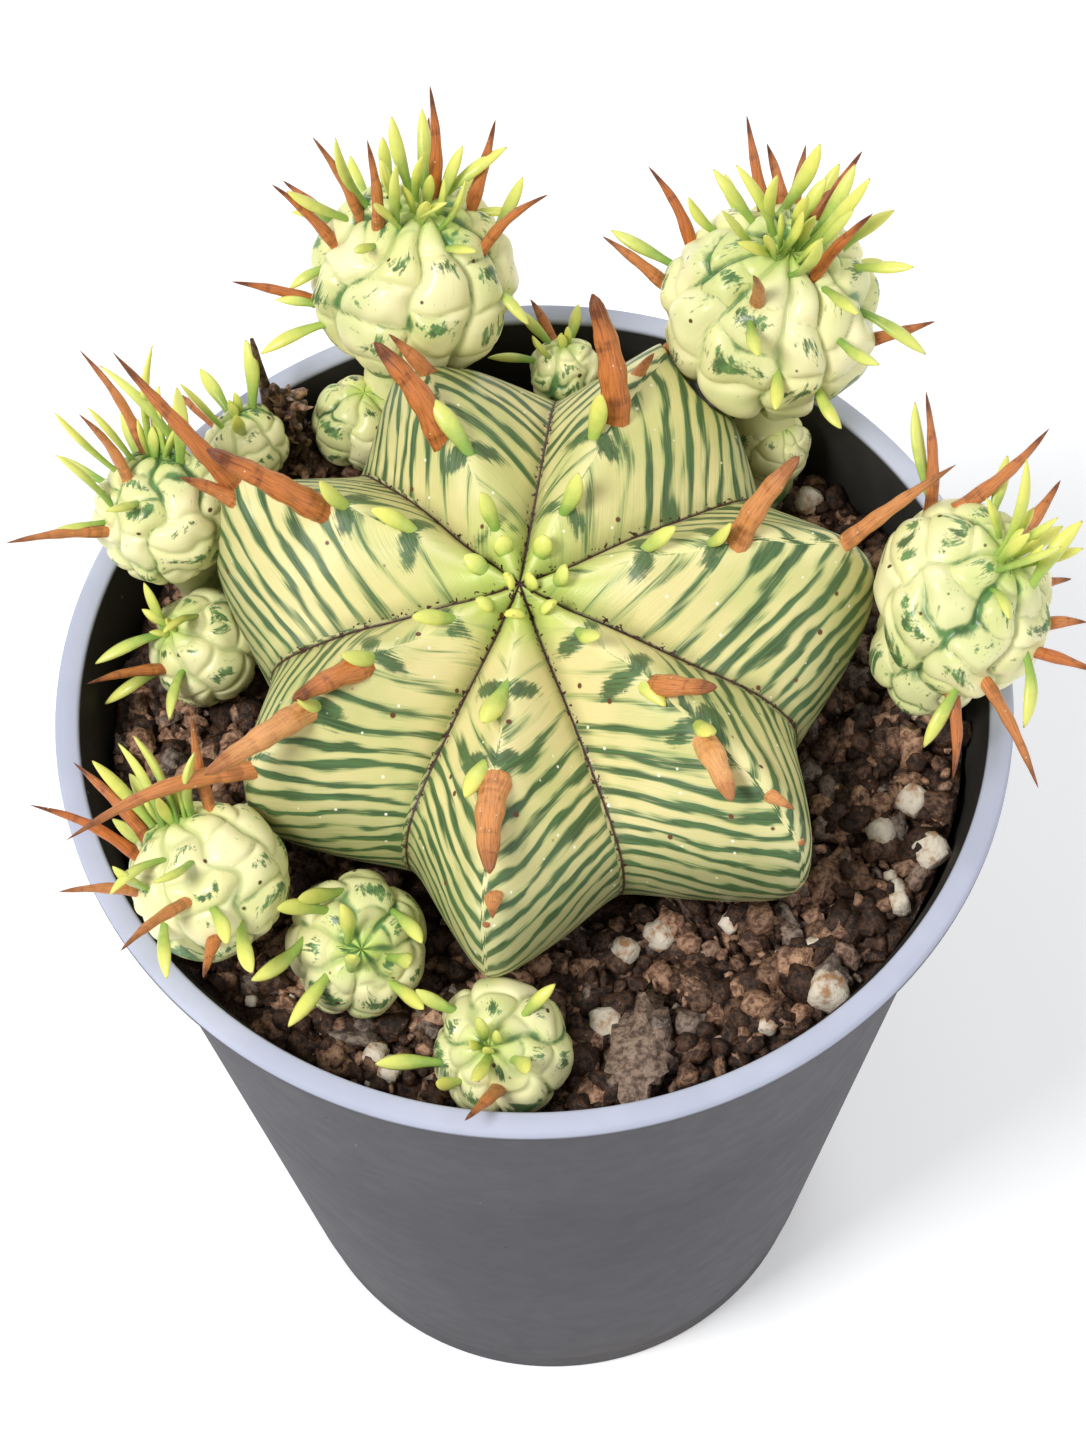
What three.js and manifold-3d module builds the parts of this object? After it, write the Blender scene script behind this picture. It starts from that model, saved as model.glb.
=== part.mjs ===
// Potted variegated melon spurge: a seven-ribbed main head with a ring of offsets round it,
// standing in bark mix in a tapered round pot. Millimetres, +Z up, origin at the centre of the
// pot's foot. The front of the pot faces -Y.

import * as THREE from 'three';
import { mergeVertices } from 'three/addons/utils/BufferGeometryUtils.js';
import Module from 'manifold-3d';

const wasm = await Module();
wasm.setup();

// Pot.
const POT_HEIGHT = 165;
const RIM_RADIUS = 70;
const RIM_LAND = 3;
const LIP_HEIGHT = 2.5;
const FOOT_RADIUS = 47.4;
const FOOT_HEIGHT = 9;
const FOOT_STEP = 1.1;
const SHOULDER_RADIUS = 66.8;
const WALL = 1.6;
const FLOOR = 2.5;
const POT_SIDES = 48;
const DRAIN_HOLES = 6;
const DRAIN_RADIUS = 3.5;
const DRAIN_CIRCLE = 31;

// Bark mix.
const GAP = 0.35;
const MIX_LEVEL = 151.5;
const HOLE_DEPTH = 17;
const CHIP_COUNT = 11;
const GRAIN_COUNT = 7;

// Main head. Each rib is [azimuth of its crest, azimuth of the furrow before it, reach of the
// crest, reach of the furrow].
const AXIS = new THREE.Vector2(-1.2, 4.7);
const APEX = 185;
const RIBS = [
  [5.8, -25.2, 51.5, 42.5],
  [59.8, 28.9, 53, 42],
  [109.8, 80.5, 47, 41],
  [155, 130.4, 49.5, 36.5],
  [214.1, 188.7, 47.5, 37],
  [262.9, 242.7, 53, 38],
  [312.4, 288.1, 56, 41],
];
const COLUMNS = 4;
const CREST_REACH = 50;
const FURROW_REACH = 39.4;
const CREST_FULL = 40;
const FURROW_FULL = 34;
const MAIN_STEM_RADIUS = 13;
const MAIN_STEM_FOOT = 112;
const PRESS = 1.3;

// Profiles from the apex to the underside, as [radius, height above the apex].
const CREST = [
  [0, 0], [4, 0.8], [9, 1.9], [15, 3.1], [21, 4], [27, 4.4], [33, 4.1], [38, 3], [42, 1.5],
  [45.5, -0.6], [48, -2.9], [49.6, -6], [50, -10], [49.8, -14.5], [48.6, -19], [46, -24],
  [42, -28.5], [35, -32.3], [22, -34], [0, -34],
];
const FURROW = [
  [0, 0], [3.6, -0.6], [8, -1.2], [13, -1.9], [18, -2.6], [23, -3.4], [27.5, -4.3], [31, -5.2],
  [34, -6.3], [36.3, -7.7], [38, -9.4], [39, -11.6], [39.4, -14], [39.4, -17], [38.8, -20.3],
  [37.4, -24], [34.6, -28], [29.5, -31.8], [20, -34], [0, -34],
];

// Leaves and old flower stalks of the main head: [rib, radius along its crest, side step,
// bearing, tilt from the vertical, length], and for a stalk its radius at the root.
const MAIN_LEAVES = [
  [2, 21, -1, 130, 40, 9], [2, 9, 0, 130, 30, 6], [1, 24, 1, 55, 30, 8], [1, 12, 0, 50, 30, 7],
  [0, 17, 1, 0, 45, 7], [0, 27, 1, -20, 35, 7], [6, 12, 0, -55, 45, 7], [6, 22, -1, -55, 60, 7],
  [6, 34, 0, -75, 55, 7], [5, 18, 0, -110, 70, 9], [5, 30, -1, -115, 60, 7],
  [4, 11, 0, -155, 45, 7], [4, 23, -1, -150, 50, 8], [4, 34, 0, -130, 50, 7],
  [3, 16, -1, 170, 45, 7], [3, 26, -1, 170, 45, 7], [1, 4, 1, 60, 20, 4], [4, 4, 0, 215, 20, 4],
  [6, 4, 0, -40, 20, 4],
];
const MAIN_STALKS = [
  [2, 26, 2, 135, 45, 17, 2.2], [2, 38, -1, 150, 45, 9, 1.5], [1, 29, 0, 105, 30, 20, 2.3],
  [1, 38, 1, 25, 35, 5, 1.2], [0, 31, 0, 30, 35, 17, 2], [0, 46, 0, 10, 45, 22, 1.4],
  [6, 26, 0, -30, 55, 12, 1.8], [6, 37, -1, -75, 75, 12, 2], [5, 34, 0, -95, 80, 15, 2.2],
  [5, 48, 1, -95, 60, 6, 1.4], [4, 26, 0, -140, 65, 14, 2], [4, 36, 0, -135, 70, 20, 2.1],
  [4, 46, 0, -150, 73, 29, 1.4], [3, 30, 1, 170, 50, 20, 2.2], [3, 44, 0, 147, 42, 28, 1.6],
  [3, 43, 2, 172, 55, 10, 1.5], [6, 48, 0, -50, 60, 6, 1.2],
];

// Offsets. lean is [azimuth, angle from the vertical] of the head's own axis, foot is where its
// stem meets the mix. base, where there is one, is a second globe low on the stem, as
// [x, y, z, radius]. Leaves and stalks are [turn, drop, bearing, tilt, length] in the head's
// frame: turn and drop place the root, bearing and tilt aim it.
const OFFSETS = {
  offset_back_left: {
    centre: [-15.2, 59.4, 186.5], radius: 15.2, ribs: 9, tiers: 6, lean: [46, 14],
    foot: [-22, 49.5], stem: 5.5, base: [-25, 50.2, 163, 7.4],
    leaves: [
      [120, 35, 120, 40, 11], [125, 50, 135, 70, 9], [110, 70, 120, 75, 5], [140, 82, 160, 95, 5],
      [155, 95, 135, 65, 5], [160, 108, 155, 100, 9], [60, 25, 75, 30, 10], [70, 45, 70, 45, 6],
      [110, 20, 95, 30, 6], [170, 20, 105, 8, 10], [-165, 10, -90, 30, 8], [5, 20, -25, 35, 10],
      [-20, 42, -60, 70, 5], [-38, 52, -10, 42, 8], [-105, 30, -105, 45, 8], [175, 40, -165, 60, 5],
      [-70, 72, -90, 85, 6], [70, 80, 70, 75, 7], [15, 75, 15, 70, 7], [40, 55, 40, 55, 7],
    ],
    stalks: [
      [20, 15, 60, 25, 17], [-20, 35, 20, 25, 14], [-65, 45, -55, 32, 14], [155, 30, 95, 15, 14],
      [125, 42, 115, 35, 14], [135, 65, 120, 50, 13], [150, 100, 130, 80, 13], [40, 70, 40, 60, 12],
      [95, 85, 95, 80, 11],
    ],
  },
  offset_back_right: {
    centre: [37.2, 50, 187.5], radius: 16, ribs: 9, tiers: 6, lean: [2, 11], foot: [37, 41],
    stem: 4.6, base: [38.5, 42.5, 163, 5.6],
    leaves: [
      [125, 32, 135, 42, 8], [122, 18, 130, 25, 9], [90, 35, 55, 42, 10], [70, 22, 45, 25, 7],
      [-165, 6, 0, 20, 8], [-175, 12, -160, 40, 8], [20, 10, 15, 30, 14], [20, 40, 25, 42, 8],
      [-5, 40, -25, 60, 8], [-50, 30, -70, 60, 8], [-20, 65, -35, 75, 9], [-55, 60, -60, 65, 8],
      [-120, 50, -90, 70, 7], [-95, 75, -100, 85, 6], [-65, 92, -65, 95, 7],
      [140, 55, 150, 65, 6], [155, 85, 150, 80, 9], [60, 70, 60, 65, 8], [100, 85, 100, 75, 7],
      [30, 90, 30, 85, 7],
    ],
    stalks: [
      [145, 80, 125, 60, 14], [100, 45, 110, 50, 15], [85, 52, 110, 58, 9], [50, 40, 55, 42, 12],
      [-45, 20, 5, 20, 14], [-22, 85, 5, 65, 10], [165, 90, 150, 72, 11], [-125, 40, -130, 25, 13],
      [65, 55, 40, 58, 7], [75, 80, 75, 70, 12],
    ],
  },
  offset_right: {
    centre: [61.6, 2.2, 182], radius: 12.4, ribs: 7, tiers: 5, lean: [6, 32], foot: [56.5, 3.5],
    stem: 4.2,
    leaves: [
      [120, 70, 110, 62, 13], [80, 45, 85, 45, 8], [110, 15, 140, 35, 5], [180, 10, 115, 10, 12],
      [65, 12, -40, 20, 8], [-140, 20, -60, 20, 10], [-50, 25, 55, 18, 10], [-125, 30, -110, 45, 8],
      [-65, 68, -90, 95, 8], [-95, 110, -105, 120, 8], [30, 75, 30, 70, 7], [60, 95, 60, 90, 7],
    ],
    stalks: [
      [120, 72, 110, 55, 16], [105, 55, 40, 38, 16], [45, 35, 60, 42, 9], [-30, 65, -10, 50, 6],
      [-50, 70, -40, 58, 9], [-85, 92, -75, 88, 17], [-95, 118, -85, 112, 12], [15, 90, 15, 80, 9],
    ],
  },
  offset_left: {
    centre: [-53, 25.4, 177.5], radius: 10.3, ribs: 7, tiers: 5, lean: [90, 40], foot: [-47.5, 27],
    stem: 4,
    leaves: [
      [115, 42, 115, 45, 11], [110, 25, 110, 30, 9], [90, 5, 85, 12, 14], [-95, 20, 80, 14, 14],
      [-135, 12, 125, 12, 9], [-125, 25, -160, 14, 10], [130, 68, 120, 35, 10],
      [120, 88, 125, 85, 7], [160, 65, 150, 80, 7], [60, 70, 60, 60, 8], [30, 50, 30, 45, 8],
    ],
    stalks: [[140, 45, 130, 32, 13], [125, 95, 120, 85, 15], [50, 20, 75, 30, 17], [0, 60, 20, 50, 10]],
  },
  offset_left_rear: {
    centre: [-41.8, 42.8, 169], radius: 6.4, ribs: 6, tiers: 4, lean: [120, 24], foot: [-39, 40],
    stem: 3,
    leaves: [[90, 30, 95, 20, 10], [-70, 30, -40, 25, 9], [0, 40, 0, 45, 7], [170, 40, 170, 45, 6]],
    stalks: [[30, 55, 30, 50, 8]],
  },
  offset_left_low: {
    centre: [-48.6, 12.2, 160.5], radius: 8.6, ribs: 6, tiers: 4, lean: [183, 36], foot: [-46.5, 11.5],
    stem: 3.2,
    leaves: [
      [-170, 30, 90, 25, 8], [-35, 15, -120, 30, 7], [-5, 15, 25, 42, 9], [30, 55, 20, 50, 8],
      [85, 50, 80, 60, 7],
    ],
    stalks: [[55, 45, 45, 32, 13]],
  },
  offset_front_left: {
    centre: [-46.4, -32.2, 172], radius: 11.2, ribs: 7, tiers: 5, lean: [125, 44], foot: [-43, -29],
    stem: 4,
    leaves: [
      [90, 12, -85, 15, 12], [170, 8, -110, 15, 12], [50, 20, 40, 22, 11], [-140, 18, -145, 15, 10],
      [30, 28, -10, 20, 8], [130, 42, 115, 60, 8], [115, 62, 125, 45, 6], [160, 55, 130, 80, 8],
      [160, 92, 160, 105, 7], [175, 118, 160, 120, 8], [120, 90, 140, 105, 7], [20, 65, 20, 55, 7],
    ],
    stalks: [
      [50, 30, 25, 25, 14], [65, 45, 60, 36, 16], [100, 65, 95, 55, 11], [145, 80, 125, 80, 15],
      [150, 115, 140, 100, 8], [-110, 30, -125, 18, 15],
    ],
  },
  offset_front_small: {
    centre: [-26.4, -38.2, 161], radius: 10.2, ribs: 7, tiers: 5, lean: [-76, 31], foot: [-26, -36.5],
    stem: 3.6,
    leaves: [
      [-175, 60, -100, 45, 8], [-150, 45, -105, 55, 8], [-110, 55, -75, 60, 8],
      [-65, 40, -55, 42, 8], [55, 25, 50, 28, 8], [25, 45, 35, 50, 7], [-40, 20, 150, 20, 7],
      [120, 45, 20, 30, 7], [-135, 15, -175, 32, 7],
    ],
    stalks: [],
  },
  offset_front: {
    centre: [-6.4, -54.2, 158.6], radius: 9.8, ribs: 7, tiers: 5, lean: [-120, 24], foot: [-6.2, -52.5],
    stem: 3.4,
    leaves: [
      [-50, 55, -60, 60, 8], [-20, 45, -50, 35, 5], [25, 8, 30, 30, 8], [-110, 10, -165, 15, 6],
      [85, 25, 80, 30, 8], [160, 45, 155, 50, 5], [-110, 50, -100, 50, 6],
    ],
    stalks: [[32, 40, 0, 25, 11]],
  },
  offset_back: {
    centre: [7.1, 55.6, 166.5], radius: 5.6, ribs: 6, tiers: 4, lean: [100, 20], foot: [7, 54],
    stem: 2.8,
    leaves: [[120, 35, 110, 40, 5], [40, 30, 40, 35, 6], [-30, 40, -30, 45, 5], [80, 60, 80, 55, 6]],
    stalks: [[20, 50, 20, 45, 7]],
  },
};

const LEAF_WIDTH = 1.1;
const MAIN_LEAF_WIDTH = 1.45;
const COLUMNS_PER_RIB = 4;
const SMALL_COLUMNS_PER_RIB = 3;
const LARGE_OFFSET = 14;
const LEAF_THICKNESS = 0.6;
const LEAF_ARCH = 0.1;
const STALK_RADIUS = 1.05;
const STALK_TIP = 0.6;
const SINK = 1.6;

const radians = THREE.MathUtils.degToRad;

function solidOf(geometry) {
  geometry.deleteAttribute('normal');
  geometry.deleteAttribute('uv');
  const merged = mergeVertices(geometry);
  return new wasm.Manifold(new wasm.Mesh({
    numProp: 3,
    vertProperties: new Float32Array(merged.attributes.position.array),
    triVerts: new Uint32Array(merged.index.array),
  }));
}

function geometryOf(solid) {
  const mesh = solid.getMesh();
  const geometry = new THREE.BufferGeometry();
  geometry.setAttribute('position', new THREE.BufferAttribute(mesh.vertProperties, 3));
  geometry.setIndex(new THREE.BufferAttribute(mesh.triVerts, 1));
  geometry.computeVertexNormals();
  return geometry;
}

// A straight peg from one point to another.
function peg(radius, from, to, sides) {
  const along = new THREE.Vector3().subVectors(to, from);
  const geometry = new THREE.CylinderGeometry(radius, radius, along.length(), sides);
  const turn = new THREE.Quaternion().setFromUnitVectors(
    new THREE.Vector3(0, 1, 0), along.clone().normalize());
  geometry.applyQuaternion(turn);
  const middle = new THREE.Vector3().addVectors(from, to).multiplyScalar(0.5);
  return geometry.translate(middle.x, middle.y, middle.z);
}

function direction(bearing, tilt) {
  const b = radians(bearing);
  const t = radians(tilt);
  return new THREE.Vector3(Math.sin(t) * Math.cos(b), Math.sin(t) * Math.sin(b), Math.cos(t));
}

// A fleshy leaf: four-sided, widest at its middle, its tip arched towards the upward vector.
function leaf(root, aim, up, length, width = LEAF_WIDTH) {
  const side = new THREE.Vector3().crossVectors(aim, up).normalize();
  const face = new THREE.Vector3().crossVectors(side, aim).normalize();
  const geometry = new THREE.ConeGeometry(1, 1, 4, 2);
  const position = geometry.attributes.position;
  for (let i = 0; i < position.count; i += 1) {
    const v = position.getY(i) + 0.5;
    const spread = v > 0.75 ? 0 : (v > 0.25 ? 2 : 1);
    const p = root.clone()
      .addScaledVector(aim, v * (length + SINK) - SINK)
      .addScaledVector(face, LEAF_ARCH * length * v * v + position.getZ(i) * spread * LEAF_THICKNESS)
      .addScaledVector(side, position.getX(i) * spread * width);
    position.setXYZ(i, p.x, p.y, p.z);
  }
  return facingOut(geometry);
}

// An old flower stalk: a woody taper with a slight bow and a blunt end.
function stalk(root, aim, up, length, radius = STALK_RADIUS) {
  const side = new THREE.Vector3().crossVectors(aim, up).normalize();
  const face = new THREE.Vector3().crossVectors(side, aim).normalize();
  const geometry = new THREE.CylinderGeometry(STALK_TIP, radius, 1, 4, length > 12 ? 2 : 1);
  const position = geometry.attributes.position;
  for (let i = 0; i < position.count; i += 1) {
    const v = position.getY(i) + 0.5;
    const p = root.clone()
      .addScaledVector(aim, v * (length + SINK) - SINK)
      .addScaledVector(face, position.getZ(i) + Math.sin(Math.PI * v) * 0.04 * length)
      .addScaledVector(side, position.getX(i));
    position.setXYZ(i, p.x, p.y, p.z);
  }
  return facingOut(geometry);
}

// Turns the triangles over where the frame they were placed in is left-handed.
function facingOut(geometry) {
  const p = geometry.attributes.position;
  const index = geometry.index.array;
  const a = new THREE.Vector3();
  const b = new THREE.Vector3();
  const c = new THREE.Vector3();
  let volume = 0;
  for (let i = 0; i < index.length; i += 3) {
    a.fromBufferAttribute(p, index[i]);
    b.fromBufferAttribute(p, index[i + 1]);
    c.fromBufferAttribute(p, index[i + 2]);
    volume += a.dot(b.cross(c));
  }
  if (volume < 0) {
    for (let i = 0; i < index.length; i += 3) {
      [index[i + 1], index[i + 2]] = [index[i + 2], index[i + 1]];
    }
  }
  return geometry;
}

// The head's own frame: its axis, and two directions square to it.
function frameOf(offset) {
  const [azimuth, angle] = offset.lean;
  const axis = direction(azimuth, angle);
  const down = direction(azimuth, angle + 90);
  const across = new THREE.Vector3().crossVectors(axis, down);
  return { axis, down, across };
}

function inFrame({ axis, down, across }, turn, drop) {
  const d = direction(turn, drop);
  return new THREE.Vector3()
    .addScaledVector(down, d.x)
    .addScaledVector(across, d.y)
    .addScaledVector(axis, d.z);
}

// Radius of an offset along a direction: a globe quilted into tiers of low pillows.
function pillow(offset, turn, drop) {
  const step = 360 / offset.ribs;
  const rise = 180 / offset.tiers;
  const narrowing = Math.sin(radians(Math.max(drop, 14)));
  let nearest = 1.1;
  for (let tier = 0; tier < offset.tiers; tier += 1) {
    const v = (drop - (tier + 0.5) * rise) / rise * 1.15;
    const cell = turn / step - (tier % 2) * 0.5;
    const u = (cell - Math.round(cell)) * 2 * narrowing;
    nearest = Math.min(nearest, u * u + v * v);
  }
  const crown = 0.07 * Math.exp(-((drop / 16) ** 2));
  return offset.radius * (1.015 - 0.12 * nearest - crown);
}

function offsetGlobe(offset) {
  const frame = frameOf(offset);
  const large = offset.radius > LARGE_OFFSET;
  const columns = offset.ribs * (large ? COLUMNS_PER_RIB : SMALL_COLUMNS_PER_RIB);
  const rows = offset.tiers * 2;
  const geometry = new THREE.SphereGeometry(1, columns, rows);
  const position = geometry.attributes.position;
  const centre = new THREE.Vector3(...offset.centre);
  for (let row = 0; row <= rows; row += 1) {
    const pole = row === 0 || row === rows;
    for (let column = 0; column <= columns; column += 1) {
      const turn = pole ? 0 : (column % columns) * 360 / columns;
      const drop = row * 180 / rows;
      const p = inFrame(frame, turn, drop).multiplyScalar(pillow(offset, turn, drop)).add(centre);
      position.setXYZ(row * (columns + 1) + column, p.x, p.y, p.z);
    }
  }
  return facingOut(geometry);
}

// The stem's axis runs from the globe's centre through its foot and down into the mix.
function stemLine(offset, depth) {
  const centre = new THREE.Vector3(...offset.centre);
  const foot = new THREE.Vector3(offset.foot[0], offset.foot[1], MIX_LEVEL);
  const along = new THREE.Vector3().subVectors(foot, centre).normalize();
  const end = foot.clone().addScaledVector(along, depth);
  return { centre, end };
}

function offsetHead(offset) {
  const frame = frameOf(offset);
  const centre = new THREE.Vector3(...offset.centre);
  const { end } = stemLine(offset, HOLE_DEPTH);
  let solid = solidOf(offsetGlobe(offset)).add(solidOf(peg(offset.stem, centre, end, 8)));
  if (offset.base) {
    const [x, y, z, radius] = offset.base;
    solid = solid.add(solidOf(new THREE.SphereGeometry(radius, 8, 6).translate(x, y, z)));
  }
  for (const [turn, drop, bearing, tilt, length] of offset.leaves) {
    const root = inFrame(frame, turn, drop).multiplyScalar(pillow(offset, turn, drop)).add(centre);
    solid = solid.add(solidOf(leaf(root, inFrame(frame, bearing, tilt), frame.axis, length)));
  }
  for (const [turn, drop, bearing, tilt, length] of offset.stalks) {
    const root = inFrame(frame, turn, drop).multiplyScalar(pillow(offset, turn, drop)).add(centre);
    solid = solid.add(solidOf(stalk(root, inFrame(frame, bearing, tilt), frame.axis, length)));
  }
  return solid;
}

// Every round body beside the main head, as [x, y, z, radius].
const GLOBES = Object.values(OFFSETS).flatMap((offset) => {
  const own = [...offset.centre, offset.radius];
  return offset.base ? [own, offset.base] : [own];
});

// Where a line from the main axis, level at a height, first meets an offset's globe.
function pressedRadius(azimuth, height, radius) {
  const dir = new THREE.Vector2(Math.cos(radians(azimuth)), Math.sin(radians(azimuth)));
  let reach = radius;
  for (const [x, y, z, size] of GLOBES) {
    const clear = size + PRESS;
    const dz = height - z;
    if (Math.abs(dz) >= clear) continue;
    const to = new THREE.Vector2(x, y).sub(AXIS);
    const along = to.dot(dir);
    const room = clear * clear - dz * dz - (to.lengthSq() - along * along);
    if (room <= 0 || along <= 0) continue;
    reach = Math.min(reach, along - Math.sqrt(room));
  }
  return reach;
}

// How far a rib's own reach moves a profile radius, more towards the outside.
function stretch(radius, change, full) {
  return radius * (1 + change * Math.min(1, radius / full) ** 2);
}

// Point of the main head's skin: rib number, half (0 before its crest, 1 after it), share of the
// way from furrow to crest, and station down the profile. The flanks are nearly straight low
// down and bulge near the top.
function mainSkin(rib, half, share, station) {
  const [crestAzimuth, furrowAzimuth, reach, ownDepth] = RIBS[rib];
  const next = RIBS[(rib + 1) % RIBS.length];
  const nextFurrow = next[1] + (next[1] < crestAzimuth ? 360 : 0);
  const azimuth = half === 0
    ? furrowAzimuth + (crestAzimuth - furrowAzimuth) * share
    : nextFurrow + (crestAzimuth - nextFurrow) * share;
  const depth = half === 0 ? ownDepth : next[3];
  const [profile, zc] = CREST[station];
  const [profileFurrow, zf] = FURROW[station];
  const outward = THREE.MathUtils.clamp((profile - 15) / 30, 0, 1);
  const round = 0.35 - 0.25 * outward;
  const span = Math.sqrt(1 + round * round) - round;
  const u = 1 - (Math.sqrt((1 - share) ** 2 + round * round) - round) / span;
  const rc = stretch(profile, reach / CREST_REACH - 1, CREST_FULL);
  const rf = stretch(profileFurrow, depth / FURROW_REACH - 1, FURROW_FULL);
  const domed = 0.55 * (1 - THREE.MathUtils.clamp((profile - 20) / 26, 0, 1));
  const r = rf + (rc - rf) * u ** 1.45;
  const rise = u ** 1.05 * (1 - domed) + (1 - (1 - u) ** 1.7) * domed;
  const z = APEX + zf + (zc - zf) * rise;
  const kept = Math.max(pressedRadius(azimuth, z, r), Math.min(r, MAIN_STEM_RADIUS));
  return new THREE.Vector3(
    AXIS.x + kept * Math.cos(radians(azimuth)), AXIS.y + kept * Math.sin(radians(azimuth)), z);
}

function mainGlobe() {
  const columns = RIBS.length * COLUMNS * 2;
  const rows = CREST.length - 1;
  const geometry = new THREE.SphereGeometry(1, columns, rows);
  const position = geometry.attributes.position;
  for (let row = 0; row <= rows; row += 1) {
    for (let column = 0; column <= columns; column += 1) {
      const c = column % columns;
      const rib = Math.floor(c / (COLUMNS * 2));
      const k = c % (COLUMNS * 2);
      const half = k < COLUMNS ? 0 : 1;
      const share = half === 0 ? k / COLUMNS : (COLUMNS * 2 - k) / COLUMNS;
      const p = mainSkin(rib, half, share, row);
      position.setXYZ(row * (columns + 1) + column, p.x, p.y, p.z);
    }
  }
  return facingOut(geometry);
}

// Point on a rib's crest at a radius, moved sideways by a step in millimetres.
function onCrest(rib, radius, step) {
  const [azimuth, , reach] = RIBS[rib];
  let height = CREST[0][1];
  let inner = 0;
  for (let i = 1; i < CREST.length && inner < radius; i += 1) {
    const outer = stretch(CREST[i][0], reach / CREST_REACH - 1, CREST_FULL);
    if (outer <= inner) break;
    const share = Math.min(1, (radius - inner) / (outer - inner));
    height = CREST[i - 1][1] + (CREST[i][1] - CREST[i - 1][1]) * share;
    inner = outer;
  }
  const a = radians(azimuth);
  return new THREE.Vector3(
    AXIS.x + radius * Math.cos(a) - step * Math.sin(a),
    AXIS.y + radius * Math.sin(a) + step * Math.cos(a),
    APEX + height - Math.abs(step) * 0.3);
}

function mainHead() {
  const top = new THREE.Vector3(AXIS.x, AXIS.y, APEX - 20);
  const foot = new THREE.Vector3(AXIS.x, AXIS.y, MAIN_STEM_FOOT);
  const up = new THREE.Vector3(0, 0, 1);
  let solid = solidOf(mainGlobe()).add(solidOf(peg(MAIN_STEM_RADIUS, top, foot, 16)));
  for (const [rib, along, step, bearing, tilt, length] of MAIN_LEAVES) {
    const root = onCrest(rib, along, step);
    solid = solid.add(solidOf(leaf(root, direction(bearing, tilt), up, length, MAIN_LEAF_WIDTH)));
  }
  for (const [rib, along, step, bearing, tilt, length, radius] of MAIN_STALKS) {
    const root = onCrest(rib, along, step);
    solid = solid.add(solidOf(stalk(root, direction(bearing, tilt), up, length, radius)));
  }
  return solid;
}

function innerWall(height) {
  const share = (height - FOOT_HEIGHT) / (POT_HEIGHT - LIP_HEIGHT - FOOT_HEIGHT);
  const outer = FOOT_RADIUS + FOOT_STEP + (SHOULDER_RADIUS - FOOT_RADIUS - FOOT_STEP) * share;
  return outer - WALL;
}

function potGeometry() {
  const under = POT_HEIGHT - LIP_HEIGHT;
  const profile = [
    [0, 0],
    [FOOT_RADIUS - 0.6, 0],
    [FOOT_RADIUS, 0.6],
    [FOOT_RADIUS + 0.3, FOOT_HEIGHT - 0.4],
    [FOOT_RADIUS + FOOT_STEP, FOOT_HEIGHT + 0.2],
    [SHOULDER_RADIUS, under],
    [RIM_RADIUS - 0.4, under],
    [RIM_RADIUS, under + 0.4],
    [RIM_RADIUS, POT_HEIGHT - 0.5],
    [RIM_RADIUS - 0.5, POT_HEIGHT],
    [RIM_RADIUS - RIM_LAND, POT_HEIGHT],
    [RIM_RADIUS - RIM_LAND - 0.4, POT_HEIGHT - 0.4],
    [innerWall(under), under - 1.5],
    [innerWall(FLOOR) - 1.5, FLOOR + 1.5],
    [innerWall(FLOOR) - 3.5, FLOOR],
    [0, FLOOR],
  ];
  const points = profile.map(([r, z]) => new THREE.Vector2(r, z));
  return facingOut(new THREE.LatheGeometry(points, POT_SIDES).rotateX(Math.PI / 2));
}

function pot() {
  let solid = solidOf(potGeometry());
  for (let i = 0; i < DRAIN_HOLES; i += 1) {
    const a = (i + 0.5) * 2 * Math.PI / DRAIN_HOLES;
    const x = DRAIN_CIRCLE * Math.cos(a);
    const y = DRAIN_CIRCLE * Math.sin(a);
    const drill = peg(DRAIN_RADIUS, new THREE.Vector3(x, y, -2), new THREE.Vector3(x, y, FLOOR + 2), 8);
    solid = solid.subtract(solidOf(drill));
  }
  return solid;
}

// Height of the mix: higher at the right, heaped at the back left, low at the back right.
function openMix(x, y) {
  const heap = 8 * Math.exp(-((x + 40) ** 2 + (y - 48) ** 2) / 260);
  const dip = 3.5 * Math.exp(-((x - 34) ** 2 + (y - 54) ** 2) / 500);
  const rightward = 3.5 * THREE.MathUtils.smoothstep(x, 30, 62);
  const waves = 0.9 * Math.sin(0.42 * x + 1.1) * Math.cos(0.37 * y - 0.4) + 0.6 * Math.sin(0.8 * y + 0.5 * x);
  return MIX_LEVEL + heap - dip + rightward + waves;
}

// The mix stays just clear of every head above it.
function mixHeight(x, y) {
  let height = openMix(x, y);
  const r = Math.hypot(x - AXIS.x, y - AXIS.y);
  const under = r < 30 ? -34 : (r < 44 ? -34 + (r - 30) * 0.35 : -29 + (r - 44) * 2.4);
  if (r < 52) height = Math.min(height, APEX + under - 1.4);
  for (const [gx, gy, gz, size] of GLOBES) {
    const clear = size + 1.8;
    const d = Math.hypot(x - gx, y - gy);
    if (d < clear) height = Math.min(height, gz - Math.sqrt(clear * clear - d * d) - 0.9);
  }
  return height;
}

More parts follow.
